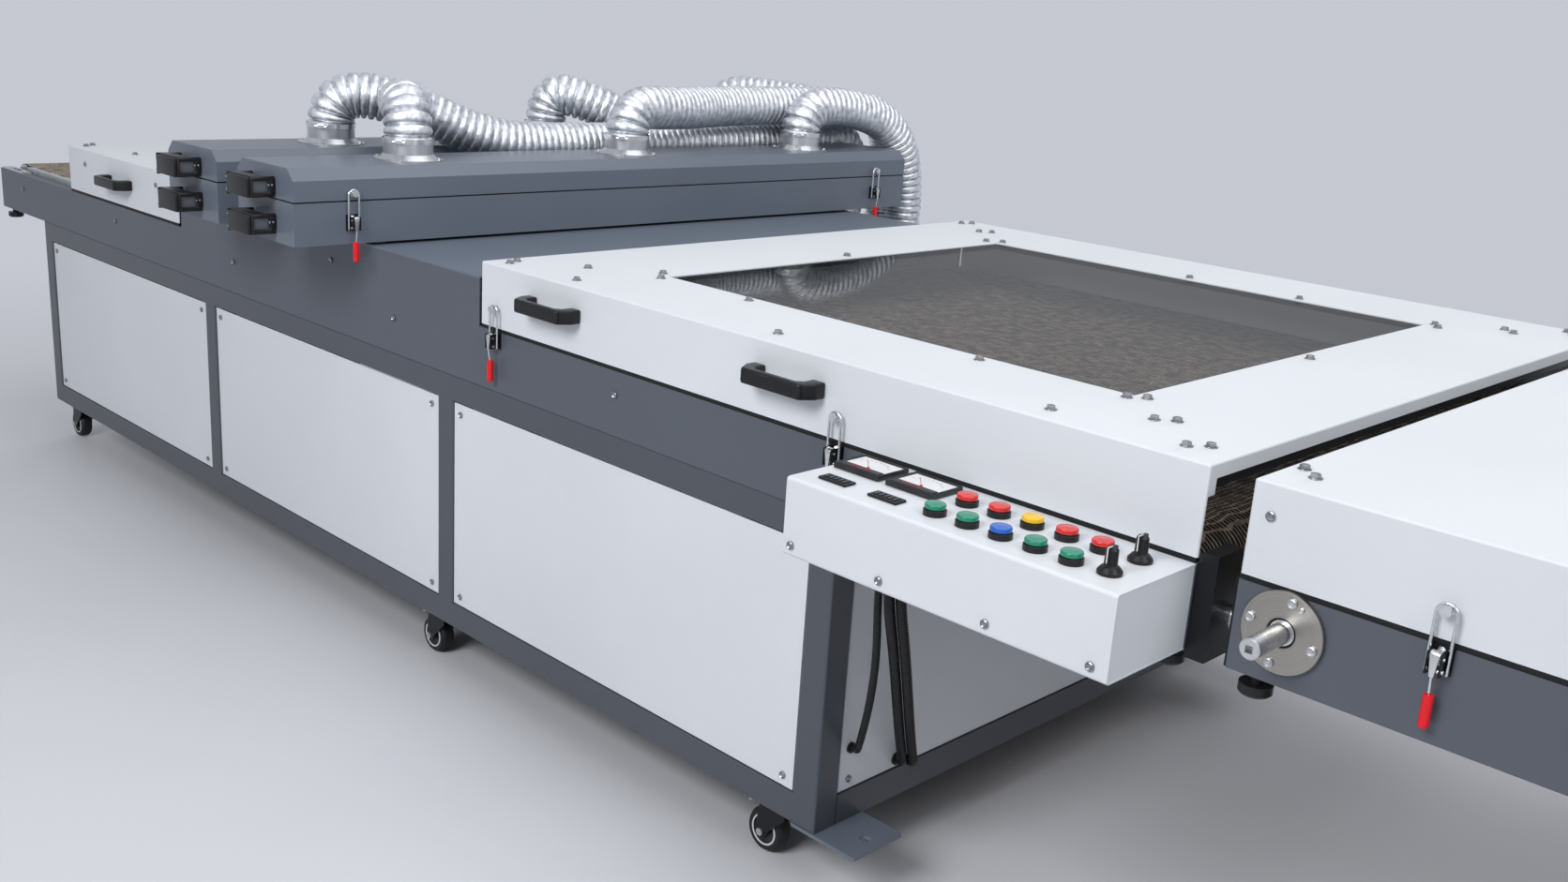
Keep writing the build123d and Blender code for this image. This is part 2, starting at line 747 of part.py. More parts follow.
# Duct collars: a flange, a flared foot and a tube
flare_height = 12
flare_radius = 60
with BuildPart() as collar:
    with BuildSketch(Plane.XZ):
        with BuildLine():
            Polyline(
                (collar_radius - collar_sheet, 0),
                (collar_flange_radius, 0),
                (collar_flange_radius, collar_sheet),
                (flare_radius, collar_sheet),
                (collar_radius, flare_height),
                (collar_radius, collar_height),
                (collar_radius - collar_sheet, collar_height),
                (collar_radius - collar_sheet, 0),
            )
        make_face()
    revolve(axis=Axis.Z)
port_shift = (0, 53, 164)
port_heights = (360, 200, 360)
trough_x = (lamp_centres[0] + lamp_centres[1]) / 2
port_x = [trough_x + shift for shift in port_shift]
port_z = [base_bottom + height for height in port_heights]
panel_face = far_face - panel_recess
top_places = [(x, y, lid_top) for x in lamp_centres for y in collar_rows]
with BuildPart() as duct_collars:
    with Locations(*top_places):
        add(collar.part)
    for x, z in zip(port_x, port_z):
        add(collar.part.moved(Location((x, panel_face, z), (-90, 0, 0))))
save(duct_collars.part, "duct_collars")

# Exhaust ducts: one flexible tube along each route, with the branches joined on
branch_radius = duct_radius - 1.5
rise = 66
port_end = panel_face + collar_height
housing_1, housing_2 = lamp_centres
row_1, row_2, row_3 = collar_rows
arch_z = collar_top + rise
lid_shoulder = lid_top - lamp_chamfer
half_gap = (lamp_pitch - lamp_width) / 2
trough_z = lid_shoulder + (duct_radius**2 - half_gap**2) ** 0.5 + duct_gap
upper_z = collar_top + 58


def duct(points, radii, radius):
    """A round tube swept along straight runs joined by arcs."""
    with BuildPart() as tube_run:
        with BuildLine() as route:
            FilletPolyline(*points, radius=radii)
        with BuildSketch(Plane(origin=route.line @ 0, z_dir=route.line % 0)) as section:
            Circle(radius)
        sweep(section.sketch, path=route.line)
    return tube_run.part


wide_bend = 200
side_bend = 100
drop_bend = 110
branch_rise = 8
arch_bend = 60
duct_1_points = [
    (housing_1, row_1, collar_top),
    (housing_1, row_1, arch_z + 2),
    (housing_1 + 75, row_1 + 122, arch_z - 8),
    (trough_x, row_1 + 300, trough_z + 10),
    (trough_x, row_1 + 492, trough_z),
    (trough_x, lamp_far + 67, trough_z),
    (trough_x, lamp_far + 67, port_z[0]),
    (trough_x, port_end, port_z[0]),
]
duct_1_branch_a = [
    (housing_2, row_1, collar_top),
    (housing_2, row_1, arch_z),
    (housing_2 - 106, row_1 + 42, arch_z),
    (housing_1 + 92, row_1 + 146, arch_z - 16),
]
duct_1_branch_b = [
    (housing_1, row_2, collar_top),
    (housing_1, row_2, arch_z + branch_rise),
    (housing_1 + 70, row_2 + 70, arch_z - 6),
    (trough_x - 22, row_2 + 200, trough_z + 30),
    (trough_x, row_2 + 330, trough_z + 1),
]
duct_2_points = [
    (housing_2, row_2, collar_top),
    (housing_2, row_2, arch_z),
    (housing_2 - 21, row_2 + 160, upper_z - 1),
    (port_x[1], row_2 + 410, upper_z),
    (port_x[1], row_2 + 780, upper_z),
    (port_x[1], far_face + far_duct_reach, upper_z - 21),
    (port_x[1], far_face + far_duct_reach, port_z[1]),
    (port_x[1], port_end, port_z[1]),
]
duct_2_branch = [
    (housing_1, row_3, collar_top),
    (housing_1, row_3, arch_z + branch_rise),
    (housing_1 + 95, row_3 + 93, arch_z + branch_rise),
    (port_x[1], row_3 + 188, upper_z),
]
duct_3_points = [
    (housing_2, row_3, collar_top),
    (housing_2, row_3, arch_z),
    (housing_2 + 4, row_3 + 188, arch_z - 1),
    (port_x[2], row_3 + 348, arch_z - 51),
    (port_x[2], row_3 + 423, arch_z - 176),
    (port_x[2], row_3 + 423, port_z[2]),
    (port_x[2], port_end, port_z[2]),
]
with BuildPart() as exhaust_duct_1:
    add(duct(duct_1_points, [arch_bend - 6, wide_bend, wide_bend, wide_bend, duct_bend, side_bend], duct_radius))
    add(duct(duct_1_branch_a, [arch_bend, side_bend], branch_radius))
    add(duct(duct_1_branch_b, [arch_bend + 4, side_bend, wide_bend], branch_radius))
save(exhaust_duct_1.part, "exhaust_duct_1")
with BuildPart() as exhaust_duct_2:
    add(duct(duct_2_points, [arch_bend - 4, wide_bend, wide_bend, wide_bend, drop_bend, side_bend], duct_radius))
    add(duct(duct_2_branch, [duct_bend + 2, duct_bend + 6], branch_radius))
save(exhaust_duct_2.part, "exhaust_duct_2")
with BuildPart() as exhaust_duct_3:
    add(duct(duct_3_points, [arch_bend, wide_bend, drop_bend, drop_bend, side_bend], duct_radius))
save(exhaust_duct_3.part, "exhaust_duct_3")

# Heavy connectors on the near ends of the lamp housings
plug_levels = [lamp_bottom + 36, seam_top + 22]
with BuildPart() as plug:
    with BuildSketch(Plane.XZ):
        RectangleRounded(plug_length, plug_height, 4)
    extrude(amount=plug_base_depth)
    with BuildSketch(Plane.XZ.offset(plug_base_depth)):
        RectangleRounded(plug_length - 8, plug_height - 6, 6)
    extrude(amount=plug_depth - plug_base_depth, taper=4)
    fillet(plug.edges().group_by(Axis.Y)[0], 3)
    with BuildSketch(Plane.YZ.offset(-plug_length / 2 - 3)):
        with Locations((-plug_base_depth / 2, 0)):
            Circle(7)
    extrude(amount=3)
    with BuildSketch(Plane.YZ.offset(plug_length / 2)):
        with Locations((-plug_base_depth / 2, 0)):
            Circle(7)
    extrude(amount=3)
plug_places = [(x, lamp_near, z) for x in lamp_centres for z in plug_levels]
save(copies(plug.part, plug_places), "lamp_connectors")

# Handles: a bridge on two feet
handle_length = 145
handle_height = 24
handle_reach = 42
handle_bar = 13
handle_foot = 24
with BuildPart() as handle:
    with BuildSketch(Plane.XY.offset(-handle_height / 2)):
        with BuildLine():
            Polyline(
                (-handle_length / 2, 0),
                (-handle_length / 2, -handle_reach * 0.45),
                (-handle_length / 2 + 14, -handle_reach),
                (handle_length / 2 - 14, -handle_reach),
                (handle_length / 2, -handle_reach * 0.45),
                (handle_length / 2, 0),
                (handle_length / 2 - handle_foot, 0),
                (handle_length / 2 - handle_foot, -handle_reach + handle_bar + 8),
                (handle_length / 2 - handle_foot - 8, -handle_reach + handle_bar),
                (-handle_length / 2 + handle_foot + 8, -handle_reach + handle_bar),
                (-handle_length / 2 + handle_foot, -handle_reach + handle_bar + 8),
                (-handle_length / 2 + handle_foot, 0),
                (-handle_length / 2, 0),
            )
        make_face()
    extrude(amount=handle_height)
    fillet(handle.edges().group_by(Axis.Y)[0], 4)
first_handle = 216
last_handle = 673
handle_z = hood_bottom + 65
left_handle_z = hood_bottom + 55
main_handle_x = [main_hood_left + first_handle, main_right - last_handle]
left_handle_x = (left_hood_left + left_hood_right) / 2
save(copies(handle.part, [(x, near_face, handle_z) for x in main_handle_x]), "main_hood_handles")
save(copies(handle.part, [(left_handle_x, near_face, left_handle_z)]), "left_hood_handle")

# Toggle latches: a plate with two cheeks, a curved lever with a red grip, and a wire bail over a keeper
keeper_radius = 6.5
keeper_reach = 16
keeper_disc = 3
keeper_neck = 4
bail_radius = 2
bail_half = 11
bail_height = 78
bail_out = 8
plate_width = 26
plate_below = 41
plate_height = 31
cheek_sheet = 2
cheek_outer = 8.3
lever_half = 5.8
grip_radius = 5.75
grip_top = 93
grip_bottom = 131
grip_out = 14


def turned(x, y, z, facing):
    """The place and turn of a latch whose keeper is at x, y, z; it faces the operator or the outlet."""
    return Location((x, y, z), (0, 0, facing))


with BuildPart() as keeper_and_bail:
    with BuildSketch(Plane.XZ):
        Circle(keeper_radius)
    extrude(amount=keeper_disc)
    with BuildSketch(Plane.XZ.offset(keeper_disc)):
        Circle(keeper_neck)
    extrude(amount=keeper_reach - 2 * keeper_disc)
    with BuildSketch(Plane.XZ.offset(keeper_reach - keeper_disc)):
        Circle(keeper_radius)
    extrude(amount=keeper_disc)
    bail_centre = keeper_neck + seat_gap + bail_radius - bail_half
    bail_low = bail_centre + bail_half + bail_radius - bail_height
    with BuildLine() as bail_line:
        Line((-bail_half, -bail_out, bail_low), (-bail_half, -bail_out, bail_centre))
        ThreePointArc(
            (-bail_half, -bail_out, bail_centre),
            (0, -bail_out, bail_centre + bail_half),
            (bail_half, -bail_out, bail_centre),
        )
        Line((bail_half, -bail_out, bail_centre), (bail_half, -bail_out, bail_low))
    with BuildSketch(Plane(origin=bail_line.line @ 0, z_dir=bail_line.line % 0)):
        Circle(bail_radius)
    sweep(path=bail_line.line)

with BuildPart() as latch_body:
    block((-plate_width / 2, plate_width / 2), (-cheek_sheet, 0), (-plate_below - plate_height, -plate_below))
    for side in (-1, 1):
        cheek_x = sorted((side * cheek_outer, side * (cheek_outer - cheek_sheet)))
        block(cheek_x, (-20, -cheek_sheet), (-plate_below - plate_height + 2, -plate_below - 3))

with BuildPart() as latch_lever:
    with BuildSketch(Plane.YZ.offset(-lever_half)):
        with BuildLine():
            Polyline(
                (-cheek_sheet - 2, -plate_below - 5),
                (-17, -plate_below - 2),
                (-20, -plate_below - 14),
                (-19, -plate_below - 34),
                (-grip_out - 1, -grip_top),
                (-grip_out + 3, -grip_top),
                (-12, -plate_below - 34),
                (-9, -plate_below - 16),
                (-cheek_sheet - 2, -plate_below - 12),
                (-cheek_sheet - 2, -plate_below - 5),
            )
        make_face()
    extrude(amount=2 * lever_half)

with BuildPart() as latch_grip:
    with BuildSketch(Plane.XY.offset(-grip_bottom)):
        with Locations((0, -grip_out)):
            Circle(grip_radius)
    extrude(amount=grip_bottom - grip_top)
    fillet(latch_grip.edges().group_by(Axis.Z)[0], 3)

first_latch = 50
last_latch = 570
outlet_latch = 232
near_lamp_latch = 44
far_lamp_latch = 73
keeper_z = hood_bottom + 35
lamp_keeper_z = seam_top + 14
main_latch_x = [main_hood_left + first_latch, main_right - last_latch]
main_latches = [turned(x, near_face, keeper_z, 0) for x in main_latch_x]
outlet_latch_x = [outlet_left + outlet_latch, outlet_cover_right - outlet_latch]
outlet_latches = [turned(x, near_face, keeper_z, 0) for x in outlet_latch_x]
lamp_latch_y = [near_face - near_lamp_latch, far_face + far_lamp_latch]
lamp_latches = [
    turned(x + lamp_width / 2, y, lamp_keeper_z, 90)
    for x in lamp_centres
    for y in lamp_latch_y
]


def placed(shape, places):
    """One latch piece at each of several turned places."""
    with BuildPart() as group:
        for place in places:
            add(shape.moved(place))
    return group.part


every_latch = main_latches + outlet_latches + lamp_latches
save(placed(latch_body.part, every_latch), "latch_bodies")
save(placed(latch_lever.part, every_latch), "latch_levers")
save(placed(latch_grip.part, every_latch), "latch_grips")
save(placed(keeper_and_bail.part, main_latches), "main_hood_bails")
save(placed(keeper_and_bail.part, outlet_latches), "outlet_cover_bails")
save(placed(keeper_and_bail.part, lamp_latches), "lamp_bails")

# Control box: a folded wrap of top, front and bottom, with end plates set in
box_left = base_right + 51
box_right = box_left + box_length
box_near = near_face - box_depth
box_bottom = base_top + 2
end_inset = 1
with BuildPart() as control_box:
    block((box_left, box_right), (box_near, near_face), (box_bottom, channel_top))
    front_edges = control_box.edges().filter_by(Axis.X).group_by(Axis.Y)[0]
    fillet(front_edges, box_corner)
    inside_y = (box_near + box_sheet, near_face)
    block((box_left, box_right), inside_y, (box_bottom + box_sheet, channel_top - box_sheet), mode=Mode.SUBTRACT)
save(control_box.part, "control_box")

with BuildPart() as control_box_ends:
    for left in (box_left + end_inset, box_right - end_inset - box_sheet):
        with BuildSketch(Plane.YZ.offset(left)):
            inner_height = channel_top - box_bottom - 2 * box_sheet
            inner_depth = box_depth - box_sheet
            with Locations((near_face - inner_depth / 2, (channel_top + box_bottom) / 2)):
                Rectangle(inner_depth, inner_height)
        extrude(amount=box_sheet)
save(control_box_ends.part, "control_box_ends")

# Meters and counters set on the top panel
meter_x = [box_left + 47, box_left + 139]
meter_near = near_face - 84
meter_width = 80
meter_depth = 64
meter_height = 9
counter_x = [box_left + 54, box_left + 140]
counter_y = near_face - 126.5
counter_width = 48
counter_depth = 22
counter_height = 4
with BuildPart() as panel_instruments:
    for x in meter_x:
        with BuildSketch(Plane.XY.offset(channel_top)):
            with Locations((x, meter_near + meter_depth / 2)):
                RectangleRounded(meter_width, meter_depth, 3)
        extrude(amount=meter_height, taper=8)
    for x in counter_x:
        with BuildSketch(Plane.XY.offset(channel_top)):
            with Locations((x, counter_y)):
                RectangleRounded(counter_width, counter_depth, 2)
        extrude(amount=counter_height)
save(panel_instruments.part, "panel_instruments")

# Push buttons in two rows, and two speed knobs
first_button = box_left + 214
button_rows = [near_face - button_row_near, near_face - button_row_far]
button_places = [(first_button + n * panel_pitch, y, channel_top) for n in range(5) for y in button_rows]
with BuildPart() as bezel:
    Cylinder(bezel_radius, bezel_height, align=(Align.CENTER, Align.CENTER, Align.MIN))
    chamfer(bezel.faces().sort_by(Axis.Z)[-1].edges(), 1)
    with BuildSketch(Plane.XY.offset(bezel_height)):
        Circle(cap_radius + knob_gap)
    extrude(amount=-bezel_height / 2, mode=Mode.SUBTRACT)
save(copies(bezel.part, button_places), "button_bezels")
with BuildPart() as cap:
    with BuildSketch(Plane.XY.offset(bezel_height / 2)):
        Circle(cap_radius)
    extrude(amount=bezel_height / 2 + cap_height)
    fillet(cap.faces().sort_by(Axis.Z)[-1].edges(), 2)
save(copies(cap.part, button_places), "button_caps")

knob_skirt_radius = 15
knob_radius = 7.5
knob_height = 33
knob_1_place = (box_left + 462, near_face - 49, channel_top)
knob_2_place = (box_left + 463, near_face - 114, channel_top)
with BuildPart() as knob:
    with BuildSketch(Plane.XZ):
        with BuildLine():
            Polyline(
                (0, knob_gap),
                (knob_skirt_radius, knob_gap),
                (knob_skirt_radius, 4),
                (knob_skirt_radius - 4, 9),
                (knob_radius + 0.5, 11),
                (knob_radius, knob_height - 4),
                (knob_radius - 2, knob_height - 1),
                (0, knob_height),
                (0, knob_gap),
            )
        make_face()
    revolve(axis=Axis.Z)
    block((-2.4, 2.4), (-knob_radius - 2.5, knob_radius), (10, knob_height))
save(knob.part.moved(Location(knob_1_place)), "speed_knob_1")
save(knob.part.moved(Location(knob_2_place)), "speed_knob_2")

# Flexible conduits from the control box down to the base, with their fittings
thick_radius = 8
thin_radius = 6
pair_offset = 8.25
gland_length = 14
pair_side = (0.745, 0.667, 0)


def corner_point(x, y, z):
    """A point given from the near lower corner at the outlet end of the main base."""
    return (base_right + x, near_face + y, base_bottom + z)


gland_bottom = box_bottom - base_bottom - gland_length
thick_middle = [
    corner_point(130, -20, gland_bottom),
    corner_point(130, -20, 442),
    corner_point(102, 42, 322),
    corner_point(70, 103, 202),
    corner_point(41, 156, 110),
    corner_point(24, 184, 78),
]
thin_points = [
    corner_point(104, -22, gland_bottom),
    corner_point(104, -22, 436),
    corner_point(84, 12, 322),
    corner_point(56, 40, 230),
    corner_point(32, 56, 160),
    corner_point(16, 70, 132),
]


def run_radii(points):
    """The bend radius at each inner point, from the shorter run beside it."""
    radii = []
    for before, here, after in zip(points, points[1:], points[2:]):
        first = Vector(*here) - Vector(*before)
        second = Vector(*after) - Vector(*here)
        turn = radians(first.get_angle(second))
        radii.append(0.45 * min(first.length, second.length) / tan(turn / 2))
    return radii


def beside(points, side):
    """The same line, moved sideways to lie beside its twin."""
    shift = [side * pair_offset * part for part in pair_side]
    return [tuple(a + b for a, b in zip(point, shift)) for point in points]


thick_1_points = beside(thick_middle, 1)
thick_2_points = beside(thick_middle, -1)
for name, points, radius in (
    ("conduit_thick_1", thick_1_points, thick_radius),
    ("conduit_thick_2", thick_2_points, thick_radius),
    ("conduit_thin", thin_points, thin_radius),
):
    bends = run_radii(points)
    print(name, "bend radii", [round(bend) for bend in bends])
    save(duct(points, bends, radius), name)

# Fittings at both ends of the conduits: glands under the box, and elbows into the base's end panel
elbow_length = 16
thin_elbow_length = 11
elbow_bend = 12
thin_elbow_bend = 8
elbow_wall = 0.4
gland_side = 17
gland_depth = 16
gland_lip = 4
panel_outside = base_right - panel_recess
foot_plate = 3


def elbow(points, radius, length, bend):
    """The elbow that a conduit ends in: on along its own line, then into the end panel."""
    end = Vector(*points[-1])
    ahead = (end - Vector(*points[-2])).normalized()
    turning = end + ahead * length
    route = [tuple(end), tuple(turning), (panel_outside, turning.Y, turning.Z)]
    return duct(route, bend, radius - elbow_wall), turning


with BuildPart() as conduit_fittings:
    for points, radius in (
        (thick_1_points, thick_radius),
        (thick_2_points, thick_radius),
        (thin_points, thin_radius),
    ):
        top = points[0]
        with BuildSketch(Plane.XY.offset(top[2])) as gland:
            with Locations((top[0], top[1])):
                Circle(radius)
        extrude(gland.sketch, amount=gland_length)
    pair_top = thick_middle[0]
    pair_y = (pair_top[1] - gland_depth, pair_top[1] + gland_depth)
    pair_x = (pair_top[0] - gland_side, pair_top[0] + gland_side)
    block(pair_x, pair_y, (pair_top[2] + gland_lip, box_bottom))
    for points in (thick_1_points, thick_2_points):
        bent, turning = elbow(points, thick_radius, elbow_length, elbow_bend)
        add(bent)
        with BuildSketch(Plane.YZ.offset(panel_outside)) as plate:
            with Locations((turning.Y, turning.Z)):
                Circle(thick_radius + foot_plate)
        extrude(plate.sketch, amount=foot_plate)
    bent, turning = elbow(thin_points, thin_radius, thin_elbow_length, thin_elbow_bend)
    add(bent)
    with BuildSketch(Plane.YZ.offset(panel_outside)) as plate:
        with Locations((turning.Y, turning.Z)):
            Circle(thin_radius + foot_plate)
    extrude(plate.sketch, amount=foot_plate)
save(conduit_fittings.part, "conduit_fittings")
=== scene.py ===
# %% [markdown]
# # A conveyor UV curing machine
# This lesson dresses a CAD model of a long printing line machine. A belt carries printed sheets under two
# lamp housings, whose heat leaves through foil ducts. The CAD model arrives as named nodes on named bodies,
# at rest and in metres. Nodes that already have the right shape get a better finish, and the rest are
# replaced by finer pieces.

# %% Load the frame
import bpy
import bmesh
import math
from mathutils import Matrix, Vector


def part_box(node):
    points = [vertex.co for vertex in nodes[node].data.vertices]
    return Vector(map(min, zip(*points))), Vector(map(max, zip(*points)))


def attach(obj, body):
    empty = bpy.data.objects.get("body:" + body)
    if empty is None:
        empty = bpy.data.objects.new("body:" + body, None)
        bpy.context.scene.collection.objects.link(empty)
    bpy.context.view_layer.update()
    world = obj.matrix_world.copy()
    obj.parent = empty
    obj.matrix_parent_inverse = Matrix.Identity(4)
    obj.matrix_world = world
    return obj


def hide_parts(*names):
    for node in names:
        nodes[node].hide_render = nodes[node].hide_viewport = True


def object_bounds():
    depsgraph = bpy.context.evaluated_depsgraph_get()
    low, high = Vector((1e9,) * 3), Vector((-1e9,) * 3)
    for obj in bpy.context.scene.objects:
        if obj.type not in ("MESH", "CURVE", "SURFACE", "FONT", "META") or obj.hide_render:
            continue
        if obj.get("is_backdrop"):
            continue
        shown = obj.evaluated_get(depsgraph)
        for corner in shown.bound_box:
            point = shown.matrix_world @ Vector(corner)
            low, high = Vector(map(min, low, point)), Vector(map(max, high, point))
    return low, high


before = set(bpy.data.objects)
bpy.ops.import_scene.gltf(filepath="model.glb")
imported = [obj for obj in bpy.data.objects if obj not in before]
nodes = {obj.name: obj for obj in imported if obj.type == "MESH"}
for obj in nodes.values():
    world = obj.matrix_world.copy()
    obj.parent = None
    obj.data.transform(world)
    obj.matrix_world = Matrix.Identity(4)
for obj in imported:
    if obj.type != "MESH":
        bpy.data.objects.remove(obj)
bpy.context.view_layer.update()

# %% [markdown]
# ## The camera
# The picture was taken from the operator's side, a little above the hoods and close to the outlet end. The
# lens and the place come from the machine's own straight edges. The three rows are the camera's right, down
# and forward directions, and Blender wants right, up and back as the columns of a matrix.

# %% Camera
def new_object(name, data):
    """An object that holds the data, put in the scene."""
    thing = bpy.data.objects.new(name, data)
    bpy.context.scene.collection.objects.link(thing)
    return thing


camera_right = Vector((0.706545, 0.704716, 0.064570))
camera_down = Vector((0.240718, -0.153531, -0.958375))
camera_forward = Vector((-0.665469, 0.692678, -0.278115))
camera_place = Vector((1.7399, -2.3114, 1.3092))
camera_data = bpy.data.cameras.new("photo camera")
camera_data.sensor_width = 36
camera_data.lens = 34.40
camera_data.clip_end = 200
camera = new_object("photo camera", camera_data)
turn = Matrix((camera_right, -camera_down, -camera_forward)).transposed()
camera.matrix_world = Matrix.Translation(camera_place) @ turn.to_4x4()
bpy.context.scene.camera = camera
print("camera at", [round(v, 3) for v in camera_place])

# %% [markdown]
# ## Finishes
# Almost every surface of a machine like this is powder coat, a baked paint with a fine orange-peel skin.
# One flat colour would look like plastic, so a helper builds each paint from three things: a slow mottle in
# the colour, a fine change in roughness, and a bump at the size of the grain. The patterns read object
# coordinates, so they stay with the metal when a hood opens. Small helpers for the nodes come first.

# %% Helpers for nodes
def feed(tree, node, sockets):
    """Each socket linked where its value comes from another node, and otherwise set to the value."""
    for socket, value in sockets.items():
        if isinstance(value, bpy.types.NodeSocket):
            tree.links.new(value, node.inputs[socket])
        else:
            node.inputs[socket].default_value = value


def add_node(tree, kind, sockets=None, **settings):
    """A new shader node, with its settings made and its sockets fed."""
    node = tree.nodes.new("ShaderNode" + kind)
    for setting, value in settings.items():
        setattr(node, setting, value)
    feed(tree, node, sockets or {})
    return node


def combined(tree, operation, first, second):
    """What a math node makes of two values."""
    return add_node(tree, "Math", {0: first, 1: second}, operation=operation).outputs[0]


def length_of(tree, vector):
    """The length of a vector."""
    return add_node(tree, "VectorMath", {0: vector}, operation="LENGTH").outputs["Value"]

# %% Helpers for patterns
def place_pattern(tree, scale=(1, 1, 1), move=(0, 0, 0)):
    """Object coordinates, scaled and moved."""
    place = add_node(tree, "TexCoord").outputs["Object"]
    return add_node(tree, "Mapping", {"Vector": place, "Scale": scale, "Location": move}).outputs["Vector"]


def noise(tree, vector, scale, detail):
    """A noise texture's factor."""
    return add_node(tree, "TexNoise", {"Vector": vector, "Scale": scale, "Detail": detail}).outputs["Fac"]


def ramp(tree, factor, low, high, start=0.3, end=0.7):
    """A colour ramp between two colours."""
    node = add_node(tree, "ValToRGB", {"Fac": factor})
    for stop, place, colour in zip(node.color_ramp.elements, (start, end), (low, high)):
        stop.position = place
        stop.color = (*colour, 1)
    return node.outputs["Color"]


def spread(tree, factor, low, high):
    """A factor stretched to run from low to high."""
    return add_node(tree, "MapRange", {"Value": factor, "To Min": low, "To Max": high}).outputs["Result"]


def bump(tree, height, distance, strength):
    """The normal for a bump of that distance in metres."""
    sockets = {"Height": height, "Distance": distance, "Strength": strength}
    return add_node(tree, "Bump", sockets).outputs["Normal"]


def shade(colour, factor):
    """A colour made darker or lighter."""
    return tuple(min(1.0, c * factor) for c in colour)


def start_finish(name):
    """A new material with its node tree and its shader."""
    finish = bpy.data.materials.new(name)
    finish.use_nodes = True
    return finish, finish.node_tree, finish.node_tree.nodes["Principled BSDF"]

# %% Powder coats
def powder_coat(name, colour, roughness, grain=420.0, mottle=0.03, gloss=0.5):
    """Baked paint with a slow mottle and a fine skin."""
    finish, tree, shader = start_finish(name)
    vector = place_pattern(tree)
    slow = noise(tree, vector, scale=2.2, detail=4)
    fine = noise(tree, vector, scale=grain, detail=2)
    feed(tree, shader, {
        "Base Color": ramp(tree, slow, shade(colour, 1 - mottle), shade(colour, 1 + mottle)),
        "Roughness": spread(tree, fine, roughness - 0.05, roughness + 0.07),
        "Specular IOR Level": gloss,
        "Normal": bump(tree, fine, distance=0.00025, strength=0.5),
    })
    return finish


light_paint = powder_coat("light grey powder coat", (0.665, 0.695, 0.735), 0.44)
slate_paint = powder_coat("slate powder coat", (0.080, 0.092, 0.116), 0.40, mottle=0.05)
# Also put on the anchor plates, where its lighter tone is painted light against the control box's shadow.
lamp_paint = powder_coat("lamp housing powder coat", (0.122, 0.146, 0.186), 0.38, mottle=0.05)
frame_paint = powder_coat("slate frame paint", (0.064, 0.072, 0.088), 0.34, grain=300.0, mottle=0.05)
black_metal = powder_coat("black enamel", (0.008, 0.009, 0.011), 0.32, grain=500.0, mottle=0.2, gloss=0.25)
print("paints:", len(bpy.data.materials))

# %% [markdown]
# ## Metals
# Bare metal needs little colour and much change in roughness. Turned and drawn parts show streaks along the
# cut, so the noise is stretched along one axis.

# %% Metals
def bare_metal(name, colour, low, high, stretch=(1, 1, 1), scale=60.0):
    """Metal with streaks or blotches in its roughness."""
    finish, tree, shader = start_finish(name)
    streaks = noise(tree, place_pattern(tree, stretch), scale, detail=5)
    feed(tree, shader, {
        "Metallic": 1.0,
        "Base Color": ramp(tree, streaks, shade(colour, 0.88), shade(colour, 1.06)),
        "Roughness": spread(tree, streaks, low, high),
        "Normal": bump(tree, streaks, distance=0.00005, strength=0.4),
    })
    return finish


zinc_steel = bare_metal("zinc plated steel", (0.56, 0.57, 0.58), 0.28, 0.50)
bright_steel = bare_metal("bright steel", (0.68, 0.69, 0.70), 0.14, 0.30, scale=90.0)
turned_steel = bare_metal("turned steel", (0.62, 0.63, 0.64), 0.22, 0.36, (0.05, 14, 0.05), 70.0)
drawn_rod = bare_metal("drawn rod", (0.66, 0.67, 0.69), 0.16, 0.30, (0.1, 8, 8), 70.0)
# The screws' steel is darker than bare steel: painted shade for the shadow that darkens the small heads.
shaded_screw_steel = bare_metal("stainless screw with painted shade", (0.32, 0.32, 0.33), 0.20, 0.36, scale=600.0)
collar_steel = bare_metal("rolled collar", (0.58, 0.59, 0.61), 0.26, 0.42, (1, 1, 0.2), 120.0)
print("with metals:", len(bpy.data.materials))

# %% [markdown]
# ## Foil
# The ducts' foil is full of small sharp facets. Cells from a Voronoi texture, with a finer noise added,
# give the facets, and a third pattern leaves grey scuffs.

# %% Crumpled foil
def crumpled_foil(name, bright, dull):
    """Foil that was pressed and scuffed."""
    finish, tree, shader = start_finish(name)
    vector = place_pattern(tree)
    scuffs = noise(tree, vector, scale=75.0, detail=6)
    facets = add_node(tree, "TexVoronoi", {"Vector": vector, "Scale": 140.0}).outputs["Distance"]
    wrinkles = noise(tree, vector, scale=260.0, detail=4)
    feed(tree, shader, {
        "Metallic": 1.0,
        "Base Color": ramp(tree, scuffs, dull, bright, 0.36, 0.58),
        "Roughness": spread(tree, scuffs, 0.56, 0.34),
        "Normal": bump(tree, combined(tree, "ADD", facets, wrinkles), distance=0.0008, strength=0.4),
    })
    return finish


duct_foil = crumpled_foil("corrugated duct foil", (0.80, 0.82, 0.85), (0.52, 0.54, 0.57))
print("made:", duct_foil.name)

# %% [markdown]
# ## The turned flange
# A lathe leaves rings on the flange's face. The distance from its centre drives a noise of one dimension,
# which gives rings of uneven width, as a real tool does.

# %% Flange with its cutting marks
def faced_metal(name, colour, centre):
    """Metal faced on a lathe: rings about an axis along y."""
    finish, tree, shader = start_finish(name)
    radius = length_of(tree, place_pattern(tree, (1, 0, 1), (-centre[0], 0, -centre[2])))
    cuts = {"W": radius, "Scale": 900.0, "Detail": 3.0}
    rings = add_node(tree, "TexNoise", cuts, noise_dimensions="1D").outputs["Fac"]
    feed(tree, shader, {
        "Metallic": 1.0,
        "Base Color": ramp(tree, rings, shade(colour, 0.85), shade(colour, 1.1)),
        "Roughness": spread(tree, rings, 0.26, 0.42),
        "Normal": bump(tree, rings, distance=0.00006, strength=0.6),
    })
    return finish


